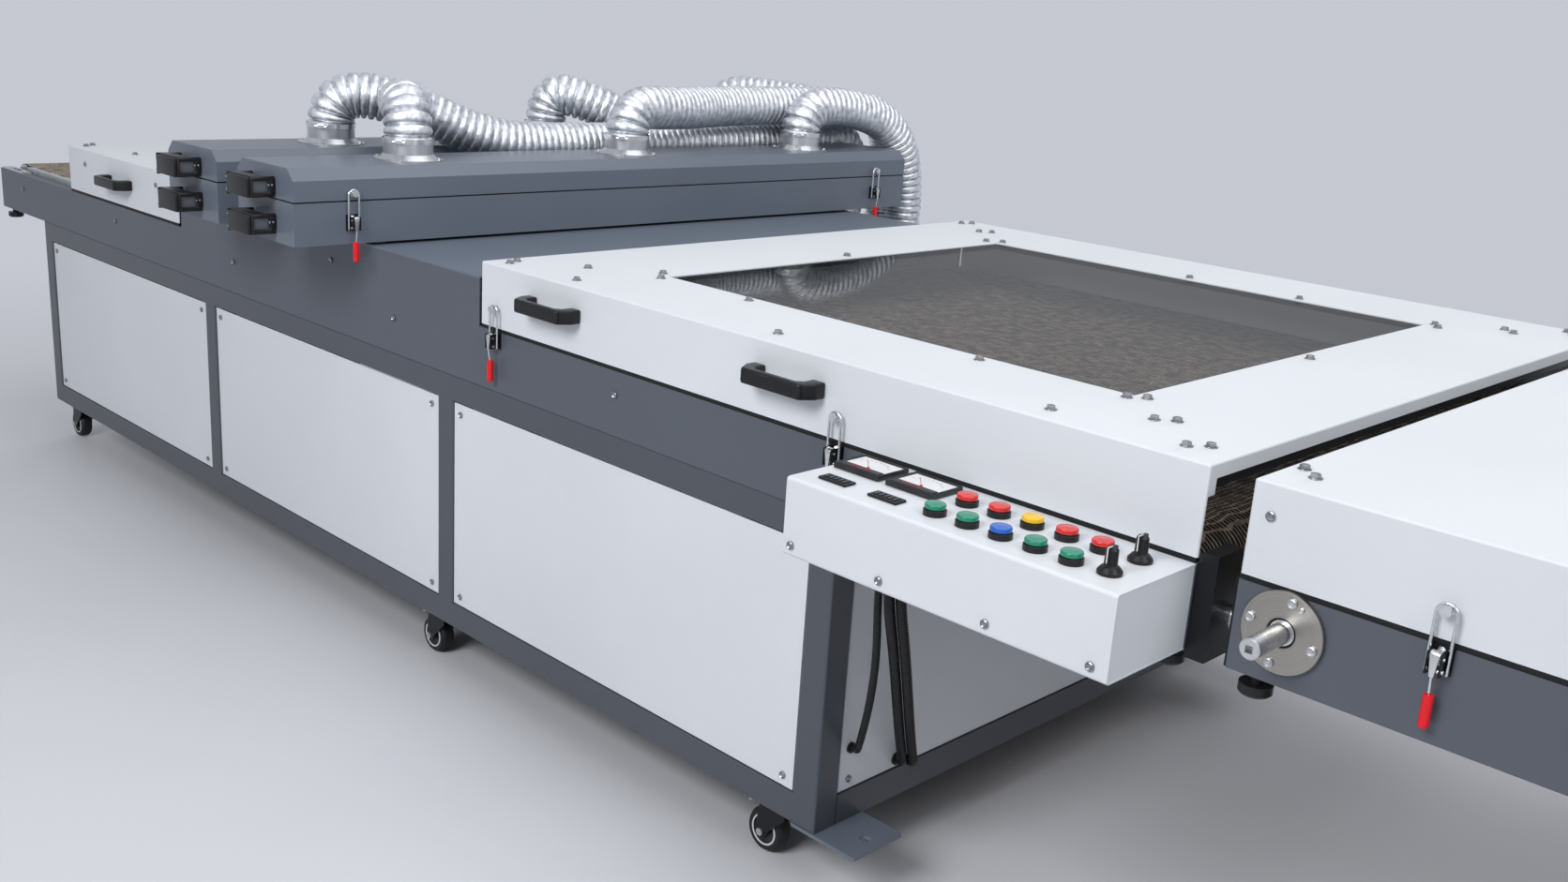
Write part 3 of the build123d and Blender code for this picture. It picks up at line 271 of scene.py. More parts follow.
flange_low, flange_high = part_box("shaft_flange")
flange_centre = (flange_low + flange_high) / 2
faced_steel = faced_metal("faced flange steel", (0.37, 0.35, 0.32), flange_centre)
print("flange centre:", [round(v, 4) for v in flange_centre])

# %% [markdown]
# ## Rubber and plastic
# Rubber and moulded plastic are nearly black, with a soft broken sheen. A grain bumps the skin, and larger
# patches change the colour and the sheen.

# %% Rubber, plastic and seal
def moulded(name, colour, roughness, grain=700.0, depth=0.00008, mottle=0.12, coat=0.0):
    """Rubber or moulded plastic with a broken sheen."""
    finish, tree, shader = start_finish(name)
    vector = place_pattern(tree)
    skin = noise(tree, vector, scale=grain, detail=3)
    patches = noise(tree, vector, scale=35.0, detail=4)
    feed(tree, shader, {
        "Base Color": ramp(tree, patches, shade(colour, 1 - mottle), shade(colour, 1 + mottle)),
        "Roughness": spread(tree, patches, roughness - 0.06, roughness + 0.08),
        "Specular IOR Level": 0.3,
        "Coat Weight": coat,
        "Normal": bump(tree, skin, depth, strength=0.5),
    })
    return finish


black_plastic = moulded("black moulded plastic", (0.011, 0.011, 0.012), 0.36)
handle_plastic = moulded("handle plastic", (0.008, 0.009, 0.010), 0.34)
tyre_rubber = moulded("tyre rubber", (0.013, 0.013, 0.014), 0.55, grain=300.0, depth=0.0002)
seal_rubber = moulded("gasket rubber", (0.008, 0.008, 0.009), 0.60, grain=250.0, depth=0.0004)
wheel_plastic = moulded("dark wheel plastic", (0.030, 0.031, 0.034), 0.40)
rim_plastic = moulded("pale rim plastic", (0.62, 0.63, 0.65), 0.35)
red_sleeve = moulded("red sleeve", (0.72, 0.012, 0.018), 0.32, mottle=0.06)
conduit_plastic = moulded("conduit plastic", (0.010, 0.010, 0.011), 0.27)
print("finishes:", len(bpy.data.materials))

# %% [markdown]
# ## The open mesh belt
# The belt is glass yarn with a brown non-stick coat, woven so openly that hot air passes through it. At this
# distance the eye sees fine crossing lines. Two sets of bands, one along the belt and one across it, are
# combined, so that the yarns stand up and the openings between them are dark: the openings get a near-black
# colour, painted shade for the hollow under the mesh. The bands along the belt count x and z together, so
# that they go on round the end rollers, where the belt turns down.

# %% Belt
def mesh_belt(name, yarn, opening_shade, pitch=0.008):
    """A woven mesh: two crossing sets of wavy yarns, with painted shade in the openings between them."""
    finish, tree, shader = start_finish(name)
    vector = place_pattern(tree, (1 / pitch,) * 3)
    ripple = add_node(tree, "TexNoise", {"Vector": vector, "Scale": 0.22, "Detail": 2.0}).outputs["Color"]
    wavy = add_node(tree, "VectorMath", {0: ripple, 1: (1.5, 1.0, 0), 2: vector}, operation="MULTIPLY_ADD")
    split = add_node(tree, "SeparateXYZ", {0: wavy.outputs["Vector"]}).outputs
    along = combined(tree, "ADD", split["X"], split["Z"])
    bands = [combined(tree, "PINGPONG", way, 0.5) for way in (along, split["Y"])]
    edges = {"Value": combined(tree, "MINIMUM", *bands), "From Min": 0.10, "From Max": 0.20}
    gap = add_node(tree, "MapRange", edges).outputs["Result"]
    wear = noise(tree, vector, scale=0.40, detail=4)
    worn_yarn = ramp(tree, wear, shade(yarn, 0.40), shade(yarn, 1.45), 0.36, 0.64)
    # The openings are painted near-black: painted shade for the hollow under the mesh.
    weave = add_node(tree, "Mix", {"Factor": gap, "A": worn_yarn, "B": (*opening_shade, 1)}, data_type="RGBA")
    feed(tree, shader, {
        "Base Color": weave.outputs["Result"],
        "Roughness": 0.55,
        "Specular IOR Level": 0.12,
        "Normal": bump(tree, gap, distance=-0.0008, strength=0.8),
    })
    return finish


# The first colour is lighter than the coat's own brown: painted light that makes up for the light the window
# pane holds back.
# The second colour, near-black, is painted shade in the belt's openings.
belt_cloth = mesh_belt("brown mesh belt", (0.46, 0.375, 0.29), (0.012, 0.010, 0.009))
print("made:", belt_cloth.name)

# %% [markdown]
# ## Window glass
# The big hood has a heat resistant pane, faintly grey, so the belt shows through it and the ducts are
# mirrored in it. Glass that bends light would keep the lamps' light out of the hood, so the pane is a dark
# gloss surface that is mostly see-through: light passes straight down, and the mirror image stays. Smears
# change the roughness a little.

# %% Glass
window_glass, tree, shader = start_finish("window glass")
smears = noise(tree, place_pattern(tree), scale=6.0, detail=5)
feed(tree, shader, {
    "Base Color": (0.020, 0.025, 0.025, 1),
    "Roughness": spread(tree, smears, 0.0, 0.02),
    "IOR": 2.0,
    "Alpha": 0.30,
})
print("made:", window_glass.name)

# %% [markdown]
# ## Dressing the CAD nodes
# The CAD nodes arrive bare. Each finish goes to the nodes that are made of it, and the last line names any
# node that was left out. The anchor plates take the lighter lamp housing paint, as painted light against the
# shadow that the control box casts on them.

# %% Finishes for the CAD nodes
nodes_by_finish = (
    (frame_paint, "side_frames cross_rails"),
    (slate_paint, "side_channels"),
    # The anchor plates take this lighter paint as painted light against the shadow that the control box casts
    # on them.
    (lamp_paint, "anchor_plates lamp_deck lamp_housings lamp_lids"),
    (light_paint, "base_panels left_hood main_hood outlet_cover control_box control_box_ends"),
    (black_metal, "castor_forks end_bearings joint_brackets outlet_curtain latch_bodies"),
    (zinc_steel, "castor_fittings slider_beds tension_plates hinge_leaves"),
    (bright_steel, "latch_levers main_hood_bails outlet_cover_bails lamp_bails"),
    (turned_steel, "belt_rollers"),
    (drawn_rod, "tie_rods"),
    (faced_steel, "shaft_flange"),
    (collar_steel, "duct_collars"),
    (duct_foil, "exhaust_duct_1 exhaust_duct_2 exhaust_duct_3"),
    (belt_cloth, "mesh_belts"),
    (window_glass, "window_pane"),
    (seal_rubber, "rubber_seals"),
    (tyre_rubber, "castor_tyres"),
    (wheel_plastic, "castor_wheels"),
    (red_sleeve, "latch_grips"),
    (handle_plastic, "main_hood_handles left_hood_handle"),
    (conduit_plastic, "conduit_thin conduit_thick_1 conduit_thick_2"),
    (black_plastic, "levelling_feet lamp_connectors conduit_fittings panel_instruments"),
    (black_plastic, "button_bezels button_caps speed_knob_1 speed_knob_2"),
)
dressed = set()
for finish, names in nodes_by_finish:
    for node_name in names.split():
        mesh = nodes[node_name].data
        mesh.materials.clear()
        mesh.materials.append(finish)
        dressed.add(node_name)
print("dressed nodes:", len(dressed), "left:", sorted(set(nodes) - dressed))

# %% [markdown]
# ## The flexible conduits
# Three black corrugated conduits run from the control box down to the base. A conduit is a fixed length of
# something springy, so its line is one smooth curve with a few control points, and the ribs follow points
# read from that curve. The two thick ones lie side by side, and the thin one hooks out beside them.

# %% Conduit helpers
def soft_line(name, points, resolution):
    """One open smooth curve through the air, guided by its control points."""
    data = bpy.data.curves.new(name, "CURVE")
    data.dimensions = "3D"
    data.twist_mode = "MINIMUM"
    data.resolution_u = resolution
    spline = data.splines.new("NURBS")
    spline.points.add(len(points) - 1)
    for knot, point in zip(spline.points, points):
        knot.co = (*point, 1)
    spline.order_u = 3
    spline.use_endpoint_u = True
    return new_object(name, data)


def points_along(line):
    """The points that Blender gives for the line."""
    bpy.context.view_layer.update()
    evaluated = line.evaluated_get(bpy.context.evaluated_depsgraph_get())
    copy = bpy.data.meshes.new_from_object(evaluated)
    points = [v.co.copy() for v in copy.vertices]
    bpy.data.meshes.remove(copy)
    return points


def even_steps(points, step):
    """The same line, walked in even steps: places and directions."""
    places, travelled, wanted = [], 0.0, 0.0
    for a, b in zip(points, points[1:]):
        length = (b - a).length
        while wanted <= travelled + length and length > 0:
            places.append((a.lerp(b, (wanted - travelled) / length), (b - a).normalized()))
            wanted += step
        travelled += length
    return places, travelled

# %% A ribbed tube
def ribbed_tube(name, points, radii, step, sides, finish):
    """A tube whose radius repeats a short pattern at each step along a line."""
    places, total = even_steps(points, step)
    mesh = bpy.data.meshes.new(name)
    shape = bmesh.new()
    rings = []
    side = places[0][1].orthogonal().normalized()
    for index, (place, ahead) in enumerate(places):
        side = (side - ahead * side.dot(ahead)).normalized()
        other = ahead.cross(side)
        radius = radii[index % len(radii)]
        ring = []
        for k in range(sides):
            angle = 2 * math.pi * k / sides
            outward = math.cos(angle) * side + math.sin(angle) * other
            ring.append(shape.verts.new(place + radius * outward))
        rings.append(ring)
    for low, high in zip(rings, rings[1:]):
        for k in range(sides):
            shape.faces.new((low[k], low[(k + 1) % sides], high[(k + 1) % sides], high[k]))
    shape.faces.new(list(reversed(rings[0])))
    shape.faces.new(rings[-1])
    bmesh.ops.recalc_face_normals(shape, faces=shape.faces)
    shape.to_mesh(mesh)
    shape.free()
    piece = new_object(name, mesh)
    mesh.materials.append(finish)
    for face in mesh.polygons:
        face.use_smooth = True
    return piece, total

# %% The three conduits
body_of_machine = "root"
corner = Vector((0.3975, -0.7925, 0.102))
conduit_top = 0.496
thick_radius, thin_radius = 0.008, 0.006
pair_side = Vector((0.745, 0.667, 0)) * 0.00825
thick_route = [
    (0.130, -0.020, conduit_top), (0.130, -0.020, 0.442), (0.102, 0.042, 0.322),
    (0.070, 0.103, 0.202), (0.041, 0.156, 0.110), (0.024, 0.184, 0.078),
]
thin_route = [
    (0.104, -0.022, conduit_top), (0.104, -0.022, 0.436), (0.084, 0.012, 0.322),
    (0.056, 0.040, 0.230), (0.032, 0.056, 0.160), (0.016, 0.070, 0.132),
]
conduits = {
    "conduit_thick_1": ([Vector(p) + pair_side for p in thick_route], thick_radius),
    "conduit_thick_2": ([Vector(p) - pair_side for p in thick_route], thick_radius),
    "conduit_thin": (thin_route, thin_radius),
}
for name, (route, radius) in conduits.items():
    line = soft_line(name + "_line", [corner + Vector(p) for p in route], resolution=24)
    walked = points_along(line)
    groove, step = radius * 0.78, radius * 0.19
    ribs = [radius, radius, groove, groove]
    tube, length = ribbed_tube(name + "_ribbed", walked, ribs, step, 18, conduit_plastic)
    bpy.data.objects.remove(line)
    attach(tube, body_of_machine)
    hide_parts(name)
    [p for p, _ in even_steps(walked, 0.004)[0]]
    print(name, "length", round(length, 3), "triangles", 2 * len(tube.data.polygons))

# %% [markdown]
# ## Working by hand, in code
# The small parts are modelled as by hand: a primitive is added, a few faces are chosen by their direction,
# and they are inset, moved or extruded. Helpers keep that short. A repeated part is modelled once and
# copied, and the copies that ride on one body are joined.

# %% Helpers for editing
def let_go():
    """Nothing selected."""
    bpy.ops.object.select_all(action="DESELECT")


def select_only(piece):
    """One piece selected and active, everything else let go."""
    let_go()
    piece.select_set(True)
    bpy.context.view_layer.objects.active = piece


def choose(piece, kind, wanted):
    """Edit mode, with only the vertices, edges or faces that pass the test selected."""
    select_only(piece)
    bpy.ops.object.mode_set(mode="EDIT")
    bpy.ops.mesh.select_mode(type=kind)
    bpy.ops.mesh.select_all(action="DESELECT")
    shape = bmesh.from_edit_mesh(piece.data)
    for part in {"VERT": shape.verts, "EDGE": shape.edges, "FACE": shape.faces}[kind]:
        part.select_set(wanted(part))
    bmesh.update_edit_mesh(piece.data)


def leave_edit():
    """Back to object mode."""
    bpy.ops.object.mode_set(mode="OBJECT")


def round_edges(piece, width, segments=2, angle=35):
    """Sharp edges rounded with a bevel, which is then applied."""
    select_only(piece)
    bevel = piece.modifiers.new("rounding", "BEVEL")
    bevel.width = width
    bevel.segments = segments
    bevel.limit_method = "ANGLE"
    bevel.angle_limit = math.radians(angle)
    bpy.ops.object.modifier_apply(modifier=bevel.name)


def smooth(piece, angle=40):
    """Soft shading, with creases kept where the faces turn sharply."""
    select_only(piece)
    bpy.ops.object.shade_smooth_by_angle(angle=math.radians(angle))


def settle():
    """The place, turn and size of the selected object, written into its mesh."""
    bpy.ops.object.transform_apply(location=True, rotation=True, scale=True)

# %% Solids to start from
def block(low, high, rounding=0.001, segments=2, finish=None):
    """A rounded block between two corners."""
    centre = [(a + b) / 2 for a, b in zip(low, high)]
    size = [b - a for a, b in zip(low, high)]
    let_go()
    bpy.ops.mesh.primitive_cube_add(size=1, location=centre, scale=size)
    piece = bpy.context.object
    settle()
    if rounding:
        round_edges(piece, rounding, segments)
    if finish:
        piece.data.materials.append(finish)
    return piece


def rod(start, end, radius, sides=16, finish=None, rounding=0.0):
    """A round bar from one point to another."""
    start, end = Vector(start), Vector(end)
    let_go()
    bpy.ops.mesh.primitive_cylinder_add(vertices=sides, radius=radius, depth=(end - start).length)
    piece = bpy.context.object
    turn_to = (end - start).to_track_quat("Z", "Y").to_matrix().to_4x4()
    piece.matrix_world = Matrix.Translation((start + end) / 2) @ turn_to
    settle()
    if rounding:
        round_edges(piece, rounding)
    if finish:
        piece.data.materials.append(finish)
    return piece

# %% Copies, places and handing over
near_face, far_face, hood_top = -0.7925, 0.5975, 0.840
toward_operator, toward_back, upward = (0, -1, 0), (0, 1, 0), (0, 0, 1)


def joined(pieces, name):
    """Several pieces made one."""
    let_go()
    for piece in pieces:
        piece.select_set(True)
    bpy.context.view_layer.objects.active = pieces[0]
    if len(pieces) > 1:
        bpy.ops.object.join()
    pieces[0].name = name
    return pieces[0]


def copies_at(master, places, name, finish=None):
    """The master copied to each place, each copy with its own mesh, and joined."""
    made = []
    for place in places:
        copy = new_object(name, master.data.copy())
        copy.matrix_world = place
        made.append(copy)
    piece = joined(made, name)
    settle()
    if finish:
        piece.data.materials.append(finish)
    return piece


def facing(place, direction):
    """A place whose z axis points in that direction."""
    aim = Vector(direction).to_track_quat("Z", "Y").to_matrix().to_4x4()
    return Matrix.Translation(place) @ aim


def turned(place, degrees):
    """A place turned about the upright axis."""
    return Matrix.Translation(place) @ Matrix.Rotation(math.radians(degrees), 4, "Z")


def hand_over(piece, body, slot, *stands_for):
    """Say which body carries the piece, and hide the CAD nodes that it stands for. The slot is not used."""
    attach(piece, body)
    if stands_for:
        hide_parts(*stands_for)
    print(piece.name, "on", body, "faces", len(piece.data.polygons))

# %% [markdown]
# ## Corrugated exhaust ducts
# The ducts are foil over a wire helix, so they show close, rounded ribs that open on the outside of a bend
# and crowd on its inside. One rib is modelled as a short open cylinder with its middle swollen. An Array
# modifier repeats it for the length of a smooth curve, and a Curve modifier bends the row along it, which
# crowds the ribs as the real helix does. A little noise dents the foil.

# %% One rib
rib_pitch, rib_low, rib_high = 0.0190, 0.0410, 0.0500
foil_dents = bpy.data.textures.new("foil dents", "CLOUDS")
foil_dents.noise_scale = 0.035


def one_rib():
    """A short open cylinder along x, with its middle rings pushed out."""
    let_go()
    bpy.ops.mesh.primitive_cylinder_add(
        vertices=30, radius=rib_low, depth=rib_pitch, end_fill_type="NOTHING", rotation=(0, math.pi / 2, 0)
    )
    rib = bpy.context.object
    settle()
    choose(rib, "EDGE", lambda edge: abs(edge.verts[0].co.x - edge.verts[1].co.x) > rib_pitch / 2)
    bpy.ops.mesh.subdivide(number_cuts=5)
    leave_edit()
    for ring_place, share in ((1 / 3, 0.82), (1 / 6, 0.96), (0, 1.0)):
        choose(rib, "VERT", lambda vert: abs(abs(vert.co.x) / rib_pitch - ring_place) < 0.05)
        swell = (rib_low + share * (rib_high - rib_low)) / rib_low
        bpy.ops.transform.resize(value=(1, swell, swell))
        leave_edit()
    return rib

# %% A duct along a route
def corrugated_duct(name, route, width):
    """Ribs arrayed along a smooth curve through the air."""
    line = soft_line(name + "_line", route, resolution=16)
    duct = one_rib()
    duct.name = name
    duct.scale = (1, width, width)
    settle()
    row = duct.modifiers.new("row of ribs", "ARRAY")
    row.fit_type = "FIT_CURVE"
    row.curve = line
    row.use_merge_vertices = True
    row.merge_threshold = 0.0004
    bend = duct.modifiers.new("along the route", "CURVE")
    bend.object = line
    bend.deform_axis = "POS_X"
    dents = duct.modifiers.new("dents", "DISPLACE")
    dents.texture = foil_dents
    dents.strength = 0.0012
    dents.mid_level = 0.6
    for modifier in list(duct.modifiers):
        bpy.ops.object.modifier_apply(modifier=modifier.name)
    bpy.ops.object.mode_set(mode="EDIT")
    bpy.ops.mesh.select_all(action="DESELECT")
    bpy.ops.mesh.select_mode(type="EDGE")
    bpy.ops.mesh.select_non_manifold()
    bpy.ops.mesh.edge_face_add()
    bpy.ops.mesh.select_all(action="SELECT")
    bpy.ops.mesh.normals_make_consistent(inside=False)
    leave_edit()
    smooth(duct, 50)
    bpy.data.objects.remove(line)
    duct.data.materials.append(duct_foil)
    return duct

# %% [markdown]
# The routes repeat the CAD model's: out of each collar, over, and into the trough between the lamp housings
# or straight across the far lid, then down behind the machine to the collars on the far panel. Points close
# to a corner keep its bend as tight as the real one. A branch is a little thinner than the run it ends in.

# %% The three ducts with their branches
left_lamp, right_lamp = -1.2875, -0.9765
collar_1, collar_2, collar_3 = collar_y = -0.6445, -0.0725, 0.4995
collar_top, port_front = 0.998, 0.634
trough, drop_2, drop_3 = -1.132, -1.079, -0.968
low_port, high_port = 0.302, 0.462
run_1 = [
    (left_lamp, collar_1, collar_top), (left_lamp, collar_1, 1.070), (-1.2125, -0.5225, 1.060),
    (trough, -0.3445, 0.9742), (trough, -0.1525, 0.9652), (trough, 0.7275, 0.9652), (trough, 0.8575, 0.9652),
    (trough, 0.8575, 0.834), (trough, 0.8575, 0.684), (trough, 0.8575, high_port),
    (trough, port_front, high_port),
]
run_1_right = [
    (right_lamp, collar_1, collar_top), (right_lamp, collar_1, 1.068), (-1.0825, -0.6025, 1.068),
    (-1.1955, -0.4985, 1.052),
]
run_1_middle = [
    (left_lamp, collar_2, collar_top), (left_lamp, collar_2, 1.076), (-1.2175, -0.0025, 1.062),
    (-1.154, 0.1275, 0.996), (trough, 0.2575, 0.967),
]
run_2 = [
    (right_lamp, collar_2, collar_top), (right_lamp, collar_2, 1.068), (-0.9975, 0.0875, 1.059),
    (drop_2, 0.3375, 1.060), (drop_2, 0.7075, 1.060), (drop_2, 0.9615, 1.039), (drop_2, 0.9615, 0.820),
    (drop_2, 0.9615, 0.502), (drop_2, 0.9615, low_port), (drop_2, 0.7625, low_port),
    (drop_2, port_front, low_port),
]
run_2_left = [
    (left_lamp, collar_3, collar_top), (left_lamp, collar_3, 1.076), (-1.1925, 0.5925, 1.076),
    (drop_2, 0.6875, 1.060),
]
run_3 = [
    (right_lamp, collar_3, collar_top), (right_lamp, collar_3, 1.068), (-0.9725, 0.6875, 1.067),
    (drop_3, 0.8475, 1.017), (drop_3, 0.9225, 0.892), (drop_3, 0.9225, 0.662), (drop_3, 0.9225, high_port),
    (drop_3, 0.7225, high_port), (drop_3, port_front, high_port),
]
foil_ducts = {
    "exhaust_duct_1": [run_1, run_1_right, run_1_middle],
    "exhaust_duct_2": [run_2, run_2_left],
    "exhaust_duct_3": [run_3],
}
branch_width = 0.98
for node_name, routes in foil_ducts.items():
    widths = [1.0] + [branch_width] * (len(routes) - 1)
    runs = [corrugated_duct(node_name + "_run", *run) for run in zip(routes, widths)]
    hand_over(joined(runs, "corrugated_" + node_name), "root", "duct foil", node_name)

# %% [markdown]
# Each collar is held by a worm-drive band round the duct's end, and screwed down through its flange. The
# bands are open cylinders given a thickness.

# %% A band and a bolt
def worm_band():
    """A band about z with its screw housing."""
    let_go()
    bpy.ops.mesh.primitive_cylinder_add(vertices=40, radius=0.0522, depth=0.010, end_fill_type="NOTHING")
    band = bpy.context.object
    thick = band.modifiers.new("thickness", "SOLIDIFY")
    thick.thickness = 0.0009
    bpy.ops.object.modifier_apply(modifier=thick.name)
    smooth(band)
    housing = block((-0.008, -0.0600, -0.005), (0.008, -0.0515, 0.005), 0.0015)
    screw = rod((-0.013, -0.0565, 0), (0.013, -0.0565, 0), 0.0032, 12)
    return joined([band, housing, screw], "worm band")


def hex_bolt():
    """A hexagon head on its washer, standing on z = 0."""
    washer = rod((0, 0, 0), (0, 0, 0.0013), 0.0082, 20, rounding=0.0003)
    head = rod((0, 0, 0.0013), (0, 0, 0.0056), 0.0062, 6)
    choose(head, "FACE", lambda face: face.normal.z > 0.9)
    bpy.ops.mesh.inset(thickness=0.0008)
    bpy.ops.transform.translate(value=(0, 0, 0.0005))
    leave_edit()
    return joined([washer, head], "hex bolt")

# %% Duct bands and collar screws
def round_a_circle(radius, degrees):
    """Offsets on a circle, one for each angle."""
    return [(radius * math.cos(math.radians(a)), radius * math.sin(math.radians(a))) for a in degrees]


bolt_master, band_master = hex_bolt(), worm_band()
collar_spots = [(x, y) for x in (left_lamp, right_lamp) for y in collar_y]
port_spots = [(trough, high_port), (drop_2, low_port), (drop_3, high_port)]
band_height, port_band_y = 0.9995, 0.6325
bands = [turned((x, y, band_height), 40) for x, y in collar_spots]
bands += [facing((x, port_band_y, z), toward_back) for x, z in port_spots]
hand_over(copies_at(band_master, bands, "duct_bands", bright_steel), "root", "zinc steel")
flange_top, port_flange_y, screw_size = 0.9632, 0.5967, 0.62
holes = round_a_circle(0.0635, (45, 135, 225, 315))
holds = [facing((x + u, y + v, flange_top), upward) for x, y in collar_spots for u, v in holes]
holds += [facing((x + u, port_flange_y, z + v), toward_back) for x, z in port_spots for u, v in holes]
small = Matrix.Scale(screw_size, 4)
holds = [place @ small for place in holds]
hand_over(copies_at(bolt_master, holds, "collar_screws", zinc_steel), "root", "zinc steel")

# %% [markdown]
# ## Bolts and screws
# Hexagon bolts hold the covers together, in pairs across the corners and round the window. The channels,
# panels and box carry domed socket screws. Both are tiny in the picture, so a head needs few faces, but its
# bright rim and dark shadow make the sheet metal look real. Their steel is also painted darker than bare
# steel, as painted shade.

# %% Bolts on the covers
cover_bolts = {
    "main cover": [
        (-0.452, -0.762), (-0.464, -0.738), (-0.356, -0.662), (-0.270, -0.753), (-0.255, -0.573),
        (-0.221, -0.607), (-0.002, -0.604), (0.477, -0.604), (0.206, -0.743), (0.703, -0.748),
        (0.722, -0.601), (0.742, -0.582), (0.807, -0.671), (0.829, -0.653), (0.896, -0.745),
        (0.916, -0.723), (0.744, -0.118), (0.732, 0.388), (0.748, 0.362), (0.824, 0.469), (0.846, 0.450),
        (0.237, 0.392), (0.473, 0.390), (-0.250, -0.095), (-0.452, 0.566), (-0.464, 0.542),
        (-0.356, 0.470), (-0.334, 0.490), (-0.255, 0.366), (-0.228, 0.390), (0.916, 0.540), (0.898, 0.566),
    ],
    "outlet cover": [
        (1.028, -0.710), (1.053, -0.734), (1.028, 0.515), (1.053, 0.539), (1.735, -0.748), (1.735, 0.553),
        (2.418, -0.734), (2.443, -0.710), (2.418, 0.539), (2.443, 0.515),
    ],
    "left cover": [
        (-2.350, -0.762), (-2.370, -0.738), (-2.147, -0.719), (-1.762, -0.762), (-1.782, -0.738),
        (-2.350, 0.567), (-2.370, 0.543), (-1.762, 0.567), (-1.782, 0.543),
    ],
}
degrees_apart = 37
for body, spots in cover_bolts.items():
    places = [turned((x, y, hood_top), degrees_apart * n) for n, (x, y) in enumerate(spots)]
    name = body.replace(" ", "_") + "_bolts"
    hand_over(copies_at(bolt_master, places, name, shaded_screw_steel), body, "zinc steel")

# %% [markdown]
# Each panel hangs on four screws, and the channels and the box have a row of them. The panels' places are
# worked out from their edges, for both sides and the ends.

# %% Screws on channels, panels and the control box
def socket_screw(radius=0.0058, height=0.0028):
    """A domed screw with a socket, standing on z = 0."""
    screw = rod((0, 0, 0), (0, 0, height), radius, 18)
    choose(screw, "FACE", lambda face: face.normal.z > 0.9)
    bpy.ops.mesh.inset(thickness=radius * 0.22)
    bpy.ops.transform.translate(value=(0, 0, height * 0.28))
    bpy.ops.mesh.inset(thickness=radius * 0.32)
    bpy.ops.transform.translate(value=(0, 0, -height * 0.6))
    leave_edit()
    return screw


def both_sides(x, z, sunk=0.0):
    """One place on the base's near face and one on its far face."""
    return [facing((x, near_face + sunk, z), toward_operator), facing((x, far_face - sunk, z), toward_back)]


screw_master = socket_screw()
panel_edges = [(-2.5515, -1.6185), (-1.5685, -0.6355), (-0.5855, 0.3475), (1.6185, 2.5515)]
end_panels = [(-2.6015, -1), (0.3975, 1), (1.5685, -1), (2.6015, 1)]
panel_rows, from_side, from_end, sunk = (0.172, 0.538), 0.024, 0.074, 0.003
screw_spots = []
for left, right in panel_edges:
    for x in (left + from_side, right - from_side):
        for z in panel_rows:
            screw_spots += both_sides(x, z, sunk)
for face, way in end_panels:
    for y in (near_face + from_end, far_face - from_end):
        for z in panel_rows:
            screw_spots.append(facing((face - way * sunk, y, z), (way, 0, 0)))
channel_row, deck_row = 0.680, 0.755
channel_x = (-2.7425, -2.1105, -1.4645, -0.7895, -0.1095, 1.420, 2.080, 2.740)
for x, z in [(x, channel_row) for x in channel_x] + [(-1.0285, deck_row)]:
    screw_spots += both_sides(x, z)
box_front, box_row = -0.9565, 0.628
screw_spots += [facing((x, box_front, box_row), toward_operator) for x in (0.4635, 0.6185, 0.7855, 0.9325)]
frame_screws = copies_at(screw_master, screw_spots, "panel_and_channel_screws", shaded_screw_steel)
hand_over(frame_screws, "root", "zinc steel")
cover_row = 0.802
for body, ends in (("outlet cover", (1.036, 2.434)), ("left cover", (-2.2825, -1.8555))):
    places = [facing((x, near_face, cover_row), toward_operator) for x in ends]
    name = body.replace(" ", "_") + "_screws"
    hand_over(copies_at(screw_master, places, name, shaded_screw_steel), body, "zinc steel")

# %% [markdown]
# Four screws hold the shaft flange on the outlet section, with a smaller one between two of them.

# %% Screws round the shaft flange
shaft_x, shaft_z, flange_front, screw_circle = 1.0725, 0.676, near_face - 0.008, 0.039
screw_sizes = (1.0, 1.0, 1.0, 1.0, 0.6)
spots = round_a_circle(screw_circle, (78, 168, -12, -102, 60))
places = [
    facing((shaft_x + u, flange_front, shaft_z + v), toward_operator) @ Matrix.Scale(size, 4)
    for (u, v), size in zip(spots, screw_sizes)
]
hand_over(copies_at(screw_master, places, "flange_screws", zinc_steel), "root", "zinc steel")

# %% [markdown]
# ## Rims of the castors
# Each wheel has a pale ring pressed into its dark plastic body. A thin torus on both faces is enough: it
# catches the light as a fine bright circle inside the tyre.

# %% Castor rims
rim_radius, wire_radius = 0.0248, 0.0016
let_go()
bpy.ops.mesh.primitive_torus_add(
    major_segments=40, minor_segments=8, major_radius=rim_radius, minor_radius=wire_radius
)
rim_master = bpy.context.object
choose(rim_master, "FACE", lambda face: True)
bpy.ops.transform.resize(value=(1, 1, 0.7))
leave_edit()
smooth(rim_master, 60)
rim_master.data.materials.append(rim_plastic)
castor_x = (-2.5215, -0.6775, 0.2875, 1.6485, 2.4915)
axle_back, axle_inset, axle_height, wheel_side = 0.024, 0.045, 0.0375, 0.014
castor_y = (near_face + axle_inset, far_face - axle_inset)
axle_spots = [(x - axle_back, y + side * wheel_side, axle_height)
              for x in castor_x for y in castor_y for side in (-1, 1)]
rims = copies_at(rim_master, [facing(spot, toward_operator) for spot in axle_spots], "castor_rims")
hand_over(rims, "root", "castor wheel")

# %% [markdown]
# ## The control panel
# Ten push buttons stand in two rows. Their caps are glossy coloured plastic, dished at the rim, so one cap
# is modelled and copied, and each colour gets its own finish on one joined piece.

